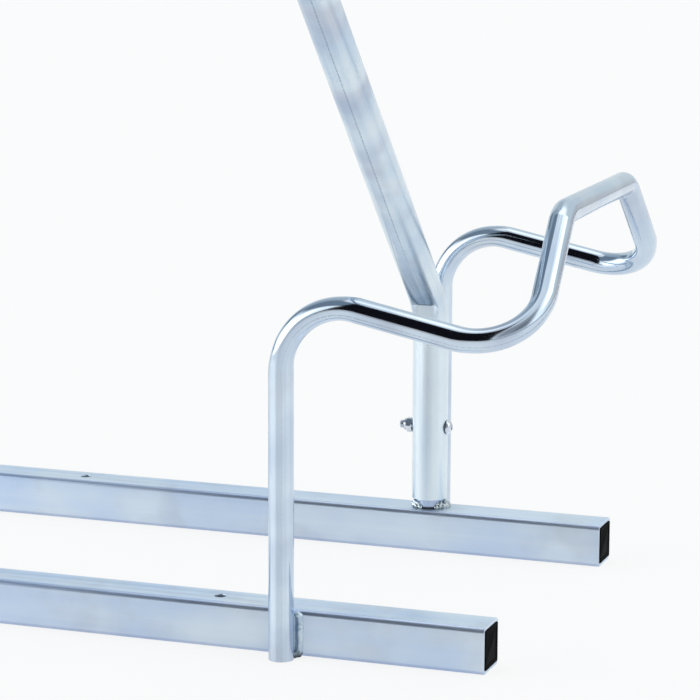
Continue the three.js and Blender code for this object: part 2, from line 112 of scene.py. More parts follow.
def clear_selection() -> None:
    """Leaves edit mode and deselects every object."""
    active = bpy.context.view_layer.objects.active
    if active is not None and active.mode != "OBJECT":
        bpy.ops.object.mode_set(mode="OBJECT")
    bpy.ops.object.select_all(action="DESELECT")


def take_up(piece: Object) -> None:
    """Makes a piece the only selected one and the active one.

    Args:
        piece: the object to work on.
    """
    clear_selection()
    piece.select_set(True)
    bpy.context.view_layer.objects.active = piece


def open_mesh(piece: Object, selected: bool = False) -> None:
    """Goes into edit mode.

    Args:
        piece: the object to work on.
        selected: whether everything is selected, or nothing.
    """
    take_up(piece)
    bpy.ops.object.mode_set(mode="EDIT")
    bpy.ops.mesh.select_mode(type="VERT")
    bpy.ops.mesh.select_all(action="SELECT" if selected else "DESELECT")


def close_mesh() -> None:
    """Goes back to object mode."""
    bpy.ops.object.mode_set(mode="OBJECT")


def select(
    piece: Object, kind: str, chosen: Callable[[bmesh.types.BMFace | bmesh.types.BMEdge], bool]
) -> None:
    """Selects faces or edges of a piece in edit mode by a test.

    Args:
        piece: the object in edit mode.
        kind: FACE or EDGE.
        chosen: says whether a face or an edge is wanted.
    """
    bpy.ops.mesh.select_mode(type=kind)
    shape = bmesh.from_edit_mesh(piece.data)
    for part in shape.faces if kind == "FACE" else shape.edges:
        part.select_set(chosen(part))
    bmesh.update_edit_mesh(piece.data)


def along_x(edge: bmesh.types.BMEdge) -> bool:
    """Whether an edge runs along X."""
    start, end = edge.verts
    return abs((start.co - end.co).normalized().x) > 0.9


def open_bar(node: str, corner: float, segments: int) -> Object:
    """Makes a bar that fills a CAD node's box, with round corners along X, and opens its mesh.

    Args:
        node: the CAD node.
        corner: the corners' radius.
        segments: how many faces a corner has.

    Returns:
        The bar, in edit mode.
    """
    low, high = node_box(node)
    clear_selection()
    bpy.ops.mesh.primitive_cube_add(size=1, location=(low + high) / 2, scale=high - low)
    bar = bpy.context.active_object
    settle(bar)
    open_mesh(bar)
    select(bar, "EDGE", along_x)
    bpy.ops.mesh.bevel(offset=corner, segments=segments, affect="EDGES", clamp_overlap=False)
    return bar


def work_over(piece: Object, kind: str, **settings: object) -> None:
    """Adds one modifier and applies it.

    Args:
        piece: the object that gets it.
        kind: the modifier's type.
        settings: its values by name.
    """
    take_up(piece)
    modifier = piece.modifiers.new(kind.lower(), kind)
    for name, value in settings.items():
        setattr(modifier, name, value)
    bpy.ops.object.modifier_apply(modifier=modifier.name)


def cut_with(piece: Object, tool: Object, operation: str = "DIFFERENCE") -> None:
    """Cuts a piece with a tool body, and throws the tool away.

    Args:
        piece: the object that is cut.
        tool: the closed body that cuts it.
        operation: the kind of cut.
    """
    work_over(piece, "BOOLEAN", operation=operation, object=tool, solver="EXACT")
    bpy.data.objects.remove(tool, do_unlink=True)


def drill(start: Vector, axis: Vector, radius: float, length: float, sides: int = 48) -> Object:
    """A round tool body, for cutting a hole.

    Args:
        start: the middle of its first end.
        axis: its direction.
        radius: its radius.
        length: its length.
        sides: how many sides it has.

    Returns:
        The tool.
    """
    clear_selection()
    turn = axis.to_track_quat("Z", "Y").to_euler()
    bpy.ops.mesh.primitive_cylinder_add(
        vertices=sides, radius=radius, depth=length, location=start + axis * (length / 2), rotation=turn)
    return bpy.context.active_object


def settle(piece: Object) -> None:
    """Puts the piece's place and turn into its mesh."""
    take_up(piece)
    bpy.ops.object.transform_apply(location=True, rotation=True, scale=True)


def outward(piece: Object) -> None:
    """Turns all faces of a piece outwards.

    Args:
        piece: the piece.
    """
    open_mesh(piece, selected=True)
    bpy.ops.mesh.normals_make_consistent(inside=False)
    close_mesh()


def turn_on_lathe(
    profile: Sequence[tuple[float, float]], start: Vector, axis: Vector, sides: int = 48, turn: float = 0
) -> Object:
    """Makes a round body from its profile, closed at both ends.

    Args:
        profile: radius and distance along the axis for each ring, in millimetres.
        start: where the axis starts.
        axis: its direction.
        sides: how many sides the body has.
        turn: how far it is turned about its own axis, in degrees.

    Returns:
        The body.
    """
    radius, height = profile[0]
    clear_selection()
    bpy.ops.mesh.primitive_circle_add(
        vertices=sides, radius=radius * MM, fill_type="NGON", location=(0, 0, height * MM))
    body = bpy.context.active_object
    settle(body)
    open_mesh(body)
    bpy.ops.mesh.select_mode(type="FACE")
    bpy.ops.mesh.select_all(action="SELECT")
    for next_radius, next_height in profile[1:]:
        share = next_radius / radius
        bpy.ops.mesh.extrude_region_move(TRANSFORM_OT_translate={"value": (0, 0, (next_height - height) * MM)})
        bpy.ops.transform.resize(value=(share, share, 1), center_override=(0, 0, next_height * MM))
        radius, height = next_radius, next_height
    close_mesh()
    outward(body)
    spin = Matrix.Rotation(math.radians(turn), 3, "Z")
    body.rotation_euler = (axis.to_track_quat("Z", "Y").to_matrix() @ spin).to_euler()
    body.location = start
    settle(body)
    return body


def copy_piece(piece: Object, signs: Vector, shift: Vector) -> Object:
    """Copies a piece, with its own mesh. Each sign of -1 turns the copy over along that axis.

    Args:
        piece: the piece to copy.
        signs: 1 or -1 for X, Y and Z.
        shift: how far the copy is then moved.

    Returns:
        The copy.
    """
    take_up(piece)
    bpy.ops.object.duplicate(linked=False)
    copy = bpy.context.active_object
    copy.scale = signs
    copy.location = shift
    settle(copy)
    if signs.x * signs.y * signs.z < 0:
        open_mesh(copy, selected=True)
        bpy.ops.mesh.flip_normals()
        close_mesh()
    return copy


def finish_piece(
    piece: Object, node: str, skin: Material, smooth: float = 30
) -> None:
    """Shades and dresses a piece, and lets it stand for its CAD node.

    Args:
        piece: the finished mesh object.
        node: the CAD node that it stands for.
        skin: its material.
        smooth: the angle in degrees under which edges are shaded smooth.
    """
    settle(piece)
    piece.name = f"{node}_look"
    piece.data.name = piece.name
    bpy.ops.object.shade_smooth_by_angle(angle=math.radians(smooth))
    piece.data.materials.clear()
    piece.data.materials.append(skin)
    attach(piece, "root")
    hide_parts(node)
    log.info("made %s: %d faces", piece.name, len(piece.data.polygons))


class LeftCopy(Enum):
    """How the piece of the left end follows from the one of the right end."""

    MOVED = "the same piece, moved along the rails"
    TURNED_IN_PLAN = "turned half round about the middle of the rack"
    TURNED_ABOUT_ARM = "turned half round about the arm's axis"


def finish_both(
    piece: Object, node: str, skin: Material, left: LeftCopy, smooth: float = 30
) -> None:
    """Finishes a piece made for the right end, and its copy for the left end.

    Args:
        piece: the piece at the right end.
        node: the CAD nodes' name, with a place for the side's word.
        skin: its material.
        left: how the left one follows from it.
        smooth: the angle in degrees under which edges are shaded smooth.
    """
    arm = node_centre("arm_stub_right")
    loop = node_centre("wheel_loop_right")
    if left is LeftCopy.MOVED:
        copy = copy_piece(piece, Vector((1, 1, 1)), Vector((-2 * arm.x, 0, 0)))
    else:
        hub = loop.y if left is LeftCopy.TURNED_IN_PLAN else arm.y
        copy = copy_piece(piece, Vector((-1, -1, 1)), Vector((0, 2 * hub, 0)))
    finish_piece(piece, node.format(side="right"), skin, smooth)
    finish_piece(copy, node.format(side="left"), skin, smooth)


# Finishes


def linear(colour: str, strength: float = 1.0) -> tuple[float, float, float, float]:
    """Turns an sRGB hex colour into the linear values that a shader takes.

    Args:
        colour: six hex digits with a leading #.
        strength: what red, green and blue are multiplied by.

    Returns:
        Red, green, blue and alpha.
    """
    shares = [int(colour[place:place + 2], 16) / 255 for place in (1, 3, 5)]
    red, green, blue = (
        strength * (share / 12.92 if share <= 0.04045 else ((share + 0.055) / 1.055) ** 2.4) for share in shares)
    return red, green, blue, 1.0


class NodeGraph:
    """The node tree of a material or a world, and the colour painted in it so far."""

    def __init__(self, owner: Material | World) -> None:
        """Empties the tree.

        Args:
            owner: the material or world that it belongs to.
        """
        owner.use_nodes = True
        self.tree = owner.node_tree
        self.tree.nodes.clear()
        self.colour: Source = WHITE

    def add(self, kind: str, *inputs: Source, **settings: object) -> Node:
        """Adds a node with its settings and links.

        Args:
            kind: the node's type name, without its ShaderNode prefix.
            inputs: what its first inputs take.
            settings: the value of a property, or what the input of that name takes, with _ for a space.

        Returns:
            The node.
        """
        node = self.tree.nodes.new(f"ShaderNode{kind}")
        for place, source in enumerate(inputs):
            self.feed(node.inputs[place], source)
        for name, value in settings.items():
            if hasattr(node, name):
                setattr(node, name, value)
            else:
                self.feed(node.inputs[name.replace("_", " ")], value)
        return node

    def feed(self, socket: NodeSocket, source: Source) -> None:
        """Sets or links an input.

        Args:
            socket: the input.
            source: a plain value, an output, or a node that stands for its first output.
        """
        if isinstance(source, Node):
            source = source.outputs[0]
        if isinstance(source, NodeSocket):
            self.tree.links.new(source, socket)
        else:
            socket.default_value = source

    def product(self, first: Source, *factors: Source) -> Source:
        """Multiplies shares.

        Args:
            first: the first share.
            factors: the others.

        Returns:
            The product.
        """
        for factor in factors:
            first = self.add("Math", first, factor, operation="MULTIPLY")
        return first

    def paint(self, share: Source, tone: str, strength: float = 1.0, kind: str = "MIX") -> None:
        """Lays a hex colour over the colour painted so far.

        Args:
            share: how much of it shows.
            tone: the hex colour.
            strength: what its linear values are multiplied by.
            kind: how the two are blended.
        """
        mix = self.add("Mix", share, data_type="RGBA", blend_type=kind)
        self.feed(mix.inputs[6], self.colour)
        self.feed(mix.inputs[7], linear(tone, strength))
        self.colour = mix.outputs[2]


class Grain(Enum):
    """What a finish's pattern follows."""

    ALONG_X = "object coordinates, drawn out along the rails"
    ALONG_PIPE = "the pipe's own map, drawn out along its centre line"
    EVEN = "object coordinates, the same in all directions"


@dataclass(frozen=True)
class PressMark:
    """Painted shade and reflection over the crease of the arm's bend, laid on the pipe's map.

    A dark wedge is painted above the crease, where the pressed wall would reflect the lower arm and the
    shaded floor, with a dark line painted along each of its edges and along the crease. Below the crease a pale
    band is painted as a highlight on the upright wall.
    """

    crease: float = 194.8 * MM
    crease_width: float = 0.9 * MM
    length: float = 165 * MM
    middle: float = -3.2 * MM
    drift: float = 0.025
    half_width: float = 13.3 * MM
    taper: float = 0.037
    rim: tuple[float, float] = (-1.2 * MM, 1.5 * MM)
    dark: tuple[float, float] = (0.4, 0.82)
    dark_share: float = 0.95
    streaked: tuple[float, float, float] = (0.3, 0.65, 0.6)
    edge_width: float = 2.7 * MM
    edge_lean: float = 1.1 * MM
    line_share: float = 0.85
    foot_above: float = 12 * MM
    foot_below: float = 25 * MM
    foot_share: float = 0.75
    tone: str = "#7D95AD"
    line_tone: str = "#5E7388"
    foot_tone: str = "#EAF4F8"


@dataclass(frozen=True)
class RolledCorner:
    """Painted shade on the round corners of the two square tubes, standing in for their darker reflection."""

    middle: float = 93.24 * MM
    offset: float = 182.5 * MM
    half_height: float = 20 * MM
    flat: float = 15.6 * MM
    blur: float = 1.6 * MM
    share: float = 0.3
    tone: str = "#7F93C8"


@dataclass(frozen=True)
class ZincSkin:
    """Galvanised steel: a bright, slightly blue metal.

    Drawn lines under the zinc make the reflections waver, the dip leaves pale specks and slow waves,
    handling leaves faint lilac and brown stains, and a welded pipe shows its seam as a dotted dark line.
    Some skins also get painted light: shade on the round corners of the square tubes, shade and reflection
    over the arm's crease with a highlight below it, and shade at the stub's foot. The leg seams get darker
    towards their foot.
    """

    name: str
    tone: str
    cool_tone: str
    stain_tone: str
    stain_share: float
    roughness: float
    roughness_spread: float
    grain: Grain
    metallic: float
    line_gap: float
    wave: float
    wave_height: float
    line_height: float
    streak_gap: float = 7 * MM
    streak_contrast: float = 1.4
    stain_edge: tuple[float, float] = (0.48, 0.72)
    speck_share: float = 0.0
    speck_gap: float = 2.4 * MM
    speck_edge: tuple[float, float] = (0.16, 0.08)
    speck_tone: str = "#F4F8FA"
    line_share: float = 0.5
    # press paints shade and reflection over the arm's crease, and a highlight below it.
    press: PressMark | None = None
    # corner paints shade on the round corners of the square tubes.
    corner: RolledCorner | None = None
    # A dark foot: painted shade of the gap under the stub, and on the leg seams darker towards the bottom.
    scorch_height: float = 0.0
    scorch_blur: float = 1.5 * MM
    scorch_share: float = 0.9
    scorch_tone: str = "#2C3742"
    seam_width: float = 0.0
    seam_share: float = 0.9
    seam_faint_share: float = 0.15
    seam_heights: tuple[float, float] = (270 * MM, 320 * MM)
    seam_dot: tuple[float, float] = (2.2 * MM, 4 * MM)
    seam_broken: tuple[float, float, float] = (0.4, 0.58, 0.25)
    seam_tone: str = "#5B6478"

    def material(self) -> Material:
        """Builds the material."""
        skin = bpy.data.materials.new(self.name)
        graph = NodeGraph(skin)
        place = graph.add("TexCoord").outputs["Object"]
        grain_map = graph.add("UVMap", uv_map="pipe") if self.grain is Grain.ALONG_PIPE else place
        lines_along, streaks_along = (1.0, 60) if self.grain is Grain.EVEN else (0.02, 2)
        across = 1 / self.line_gap
        lines_at = graph.add("Mapping", grain_map, Scale=(across * lines_along, across, across))
        lines = graph.add("TexNoise", lines_at, Scale=1.0, Detail=3.0, Roughness=0.6)
        clouds = graph.add("TexNoise", place, Scale=1 / self.wave)
        stains = graph.add("TexNoise", place, Scale=16.0, Detail=3.0, Roughness=0.55)
        streaks_at = graph.add("Mapping", grain_map, Scale=(streaks_along, 1 / self.streak_gap, 1 / self.streak_gap))
        streaks = graph.add("TexNoise", streaks_at, Scale=1.0)

        graph.colour = linear(self.tone)
        drawn = graph.add("Math", lines, self.line_share, streaks, operation="MULTIPLY_ADD")
        offset = -self.streak_contrast / 2 * (1 + self.line_share)
        leaning = graph.add("Math", drawn, self.streak_contrast, offset, operation="MULTIPLY_ADD")
        cool = graph.add("MapRange", clouds, *NOISE_SPAN, **SMOOTH)
        graph.paint(graph.add("Math", leaning, cool, operation="ADD", use_clamp=True), self.cool_tone)
        stained = graph.add("MapRange", stains, *self.stain_edge, 0.0, self.stain_share, **SMOOTH)
        graph.paint(stained, self.stain_tone, kind="MULTIPLY")
        if self.speck_share:
            specks = graph.add("TexVoronoi", place, Scale=1 / self.speck_gap)
            graph.paint(graph.add("MapRange", specks, *self.speck_edge, 0.0, self.speck_share), self.speck_tone)
        # Painted shade on the round corners of the square tubes.
        if self.corner:
            self.roll(graph, place)
        # Painted shade and reflection over the arm's crease, and a painted highlight below it.
        if self.press:
            self.draw(graph, grain_map, streaks)
        # Dark at the foot: painted shade under the stub; on the leg seams, darker towards the bottom.
        if self.scorch_height:
            height = graph.add("SeparateXYZ", place).outputs["Z"]
            edge = (self.scorch_height + self.scorch_blur, self.scorch_height - self.scorch_blur)
            graph.paint(graph.add("MapRange", height, *edge, 0.0, self.scorch_share, **SMOOTH), self.scorch_tone)
        if self.seam_width:
            self.mark_seam(graph, grain_map, place)

        least, most = self.roughness - self.roughness_spread, self.roughness + self.roughness_spread
        roughness = graph.add("MapRange", stains, *NOISE_SPAN, least, most)
        waves = graph.add("Bump", Distance=self.wave_height, Height=clouds)
        relief = graph.add("Bump", Distance=self.line_height, Height=lines, Normal=waves)
        graph.add("OutputMaterial", graph.add(
            "BsdfPrincipled", graph.colour, self.metallic, roughness, Normal=relief))
        return skin

    def roll(self, graph: NodeGraph, place: NodeSocket) -> None:
        """Paints shade on the round corners of the square tubes, standing in for their darker reflection.

        Args:
            graph: the skin's node tree.
            place: the object coordinates.
        """
        corner = self.corner
        split = graph.add("SeparateXYZ", place)
        off = [split.outputs["Y"], split.outputs["Z"]]
        for side, middle in ((0, corner.middle), (0, corner.offset), (1, corner.half_height)):
            from_middle = graph.add("Math", off[side], middle, operation="SUBTRACT")
            off[side] = graph.add("Math", from_middle, operation="ABSOLUTE")
        least = graph.add("Math", *off, operation="MINIMUM")
        edge = (corner.flat, corner.flat + corner.blur)
        # Painted corner shade.
        graph.paint(graph.add("MapRange", least, *edge, 0.0, corner.share, **SMOOTH), corner.tone)

    def mark_seam(self, graph: NodeGraph, pipe_map: Node, place: NodeSocket) -> None:
        """Draws the pipe's weld seam, a dotted line at the zero line of its map. It is plain on the hoop.

        Args:
            graph: the skin's node tree.
            pipe_map: the pipe's map.
            place: the object coordinates.
        """
        off = graph.add("SeparateXYZ", pipe_map).outputs["Y"]
        away = graph.add("Math", off, operation="ABSOLUTE")
        line = graph.add("MapRange", away, self.seam_width, 0.0, 0.0, self.seam_share, **SMOOTH)
        dots_at = graph.add("Mapping", pipe_map, Scale=(1 / self.seam_dot[0], 1 / self.seam_dot[1], 1.0))
        dots = graph.add("TexNoise", dots_at, Scale=1.0, Detail=1.0)
        dotted = graph.add("MapRange", dots, *self.seam_broken)
        height = graph.add("SeparateXYZ", place).outputs["Z"]
        faded = graph.add("MapRange", height, *self.seam_heights, self.seam_faint_share)
        graph.paint(graph.product(line, dotted, faded), self.seam_tone)

    def draw(self, graph: NodeGraph, pipe_map: Node, streaks: Node) -> None:
        """Paints shade and reflection over the crease, with a dark line along each edge, and a highlight below it.

        Args:
            graph: the skin's node tree.
            pipe_map: the pipe's map.
            streaks: the drawn streaks.
        """
        mark = self.press
        split = graph.add("SeparateXYZ", pipe_map)
        run = split.outputs["X"]
        # Painted highlight on the upright wall below the crease.
        foot = (mark.crease + mark.foot_above, mark.crease - mark.foot_below)
        graph.paint(graph.add("MapRange", run, *foot, 0.0, mark.foot_share), mark.foot_tone)
        # Painted shade and reflection in a wedge above the crease, darkest at the crease.
        above = graph.add("MapRange", run, mark.crease, mark.crease + mark.length, 1.0, 0.0)
        over = graph.add("Math", run, mark.crease, operation="GREATER_THAN")
        start = mark.middle - mark.drift * mark.crease
        middle = graph.add("Math", run, mark.drift, start, operation="MULTIPLY_ADD")
        off = graph.add("Math", split.outputs["Y"], middle, operation="SUBTRACT")
        away = graph.add("Math", off, operation="ABSOLUTE")
        widest = mark.half_width + mark.taper * mark.crease
        width = graph.add("Math", run, -mark.taper, widest, operation="MULTIPLY_ADD")
        inside = graph.add("Math", width, away, operation="SUBTRACT")
        wedge = graph.add("MapRange", inside, *mark.rim, **SMOOTH)
        deep = graph.add("MapRange", above, *mark.dark, 0.0, mark.dark_share, **SMOOTH)
        streaked = graph.add("MapRange", streaks, *mark.streaked, 1.0)
        graph.paint(graph.product(wedge, deep, over, streaked), mark.tone)

        # Painted reflection of the lower arm's dark edges, as a dark line along each edge of the wedge.
        side = graph.add("Math", off, operation="SIGN")
        edge_width = graph.add("Math", side, mark.edge_lean, mark.edge_width, operation="MULTIPLY_ADD")
        edge_off = graph.add("Math", inside, operation="ABSOLUTE")
        edge_share = graph.add("Math", edge_off, edge_width, operation="DIVIDE")
        edge = graph.add("MapRange", edge_share, 1.0, 0.0, 0.0, mark.dark_share, **SMOOTH)
        graph.paint(graph.product(edge, above, over), mark.line_tone)

        # Painted shade along the crease itself.
        crease_off = graph.add("Math", run, mark.crease, operation="SUBTRACT")
        crease_away = graph.add("Math", crease_off, operation="ABSOLUTE")
        line = graph.add("MapRange", crease_away, mark.crease_width, mark.crease_width / 3, 0.0, mark.line_share)
        graph.paint(graph.product(line, wedge), mark.line_tone)


@dataclass(frozen=True)
class BlackPolyethylene:
    """Black polyethylene, moulded: a satin black that shows a soft sheen and faint flow marks."""

    name: str = "black_polyethylene_moulded"
    tone: str = "#030304"
    grain_size: float = 0.6 * MM
    grain_height: float = 0.02 * MM
    flow: float = 120
    roughness: tuple[float, float] = (0.6, 0.75)
    sheen: float = 0.04

    def material(self) -> Material:
        """Builds the material."""
        skin = bpy.data.materials.new(self.name)
        graph = NodeGraph(skin)
        place = graph.add("TexCoord").outputs["Object"]
        grain = graph.add("TexNoise", place, Scale=1 / self.grain_size)
        flow = graph.add("TexNoise", place, Scale=self.flow, Detail=3.0)
        roughness = graph.add("MapRange", flow, 0.0, 1.0, *self.roughness)
        bump = graph.add("Bump", Distance=self.grain_height, Height=grain)
        graph.add("OutputMaterial", graph.add(
            "BsdfPrincipled", linear(self.tone), 0.0, roughness, 1.5, Specular_IOR_Level=self.sheen, Normal=bump))
        return skin


class Wardrobe:
    """All finishes of the rack, built once each."""

    def __init__(self) -> None:
        """Builds the materials."""
        # Galvanised cold-rolled square tube: satin, so the floor shows as one pale blue sheet. Shade is painted on its
        # round corners.
        self.rail = ZincSkin(
            name="galvanised_square_tube", tone="#E2EEF9", cool_tone="#CDDFF6", stain_tone="#E6E0DC",
            stain_share=0.4, roughness=0.31, roughness_spread=0.04, grain=Grain.ALONG_X, metallic=0.75,
            line_gap=1.6 * MM, wave=90 * MM, wave_height=0.3 * MM, line_height=0.008 * MM,
            streak_gap=14 * MM, speck_share=0.3, line_share=0.15, corner=RolledCorner()).material()
        # Bright galvanised precision pipe: nearly a mirror, with sharp black and white bands.
        self.loop = ZincSkin(
            name="bright_galvanised_pipe", tone="#CEDAE5", cool_tone="#BFCDDD", stain_tone="#E0D6D6",
            stain_share=0.35, roughness=0.09, roughness_spread=0.03, grain=Grain.ALONG_PIPE, metallic=1.0,
            line_gap=1.1 * MM, wave=40 * MM, wave_height=0.1 * MM, line_height=0.003 * MM,
            seam_width=1.1 * MM).material()
        # Galvanised drawn pipe: satin, with lines along it and a darker seam. Shade and reflection are painted over
        # the crease of its bend, and a highlight below it.
        self.arm = ZincSkin(
            name="galvanised_drawn_pipe", tone="#E0EAF0", cool_tone="#C6D8E8", stain_tone="#DCD0DA",
            stain_share=0.5, roughness=0.29, roughness_spread=0.05, grain=Grain.ALONG_PIPE, metallic=0.8,
            line_gap=1.6 * MM, wave=60 * MM, wave_height=0.2 * MM, line_height=0.007 * MM,
            speck_share=0.25, seam_width=0.9 * MM, seam_tone="#8094AE", press=PressMark()).material()
        # The stub's pipe: the heat of its weld has turned the zinc bluish. At the very foot, black is painted as the
        # shade of the gap over the rail.
        self.stub = ZincSkin(
            name="galvanised_pipe_beside_weld", tone="#C9D7EA", cool_tone="#B7C9E2", stain_tone="#DCD0DA",
            stain_share=0.3, roughness=0.27, roughness_spread=0.05, grain=Grain.ALONG_PIPE, metallic=0.8,
            line_gap=1.6 * MM, wave=60 * MM, wave_height=0.2 * MM, line_height=0.007 * MM,
            scorch_height=42.3 * MM, scorch_blur=0.5 * MM, scorch_tone="#07090C").material()
        # A smooth galvanised weld seam: pale and a little greenish, with a soft sheen, and darker towards its foot.
        self.seam = ZincSkin(
            name="galvanised_weld_seam", tone="#D8E4EA", cool_tone="#B9CBDC", stain_tone="#C3BDB6",
            stain_share=0.4, roughness=0.3, roughness_spread=0.05, grain=Grain.EVEN, metallic=0.85,
            line_gap=2.0 * MM, wave=6 * MM, wave_height=0.1 * MM, line_height=0.01 * MM,
            scorch_height=4 * MM, scorch_blur=2.5 * MM).material()
        # Weld metal under zinc: smooth frozen drops, so each one has its own bright and dark spot.
        self.weld = ZincSkin(
            name="galvanised_weld_bead", tone="#DBE4E6", cool_tone="#BFCDD5", stain_tone="#B7AFAA",
            stain_share=0.4, roughness=0.13, roughness_spread=0.05, grain=Grain.EVEN, metallic=1.0,
            line_gap=2.0 * MM, wave=4 * MM, wave_height=0.25 * MM, line_height=0.03 * MM).material()
        # Bright zinc plating on a turned screw and nut: a clean mirror with a faint warm cast.
        self.fastener = ZincSkin(
            name="bright_zinc_plated_steel", tone="#E2E6EB", cool_tone="#CFD6E0", stain_tone="#D4CCC4",
            stain_share=0.3, roughness=0.09, roughness_spread=0.03, grain=Grain.EVEN, metallic=1.0,
            line_gap=1.5 * MM, wave=6 * MM, wave_height=0.02 * MM, line_height=0.004 * MM).material()
        # Moulded polyethylene: a deep satin black.
        self.plug = BlackPolyethylene().material()


# Ground rails


@dataclass
class Piece:
    """A kind of piece, with the finish that it gets."""

    skin: Material


@dataclass
class GroundRail(Piece):
    """A 40 mm square tube with round corners, sawn off square and drilled through for its anchors."""

    node: str
    holes: Sequence[float]
    wall: float = 3 * MM
    corner: float = 4.5 * MM
    hole: float = 10 * MM
    burr: float = 0.5 * MM

    def build(self) -> None:
        """Makes the rail."""
        low, high = node_box(self.node)
        tube = open_bar(self.node, self.corner, segments=8)
        select(tube, "FACE", lambda face: abs(face.normal.x) > 0.9)
        bpy.ops.mesh.delete(type="FACE")
        close_mesh()
        work_over(tube, "SOLIDIFY", thickness=self.wall, offset=-1)
        for place in self.holes:
            start = Vector((place, (low.y + high.y) / 2, low.z - self.wall))
            cut_with(tube, drill(start, Z_AXIS, self.hole / 2, high.z - low.z + 2 * self.wall))
        work_over(tube, "BEVEL", width=self.burr, segments=2, limit_method="ANGLE", angle_limit=math.radians(60))
        finish_piece(tube, self.node, self.skin)


@dataclass
class RailPlug(Piece):
    """A moulded plug pressed into the bore of a rail until its face is nearly flush."""

    node: str
    side: Side
    edge: float = 0.3 * MM
    corner: float = 1.2 * MM
    rim: float = 2.6 * MM
    dish: float = 0.5 * MM
    hollow: float = 15 * MM
    draft: float = 0.97

    def build(self) -> None:
        """Makes the plug."""
        out = self.side.value
        plug = open_bar(self.node, self.corner, segments=4)
        for sign, depth in ((out, self.dish), (-out, self.hollow)):
            select(plug, "FACE", lambda face: face.normal.x * sign > 0.9 and len(face.verts) > 4)
            bpy.ops.mesh.inset(thickness=self.rim, depth=0)
            bpy.ops.mesh.extrude_region_move(TRANSFORM_OT_translate={"value": (-sign * depth, 0, 0)})
            bpy.ops.transform.resize(value=(1, self.draft, self.draft), center_override=node_centre(self.node))
        close_mesh()
        work_over(plug, "BEVEL", width=self.edge, segments=3, limit_method="ANGLE", angle_limit=math.radians(60))
        finish_piece(plug, self.node, self.skin)


# Pipes bent on a machine


@dataclass
class Station:
    """One ring of a pipe: its centre, its heading, its zero line and its run along the pipe."""

    centre: Vector
    heading: Vector
    mark: Vector
    run: float
    in_bend: float = 0.0
    bend_side: Vector = field(default_factory=Vector)


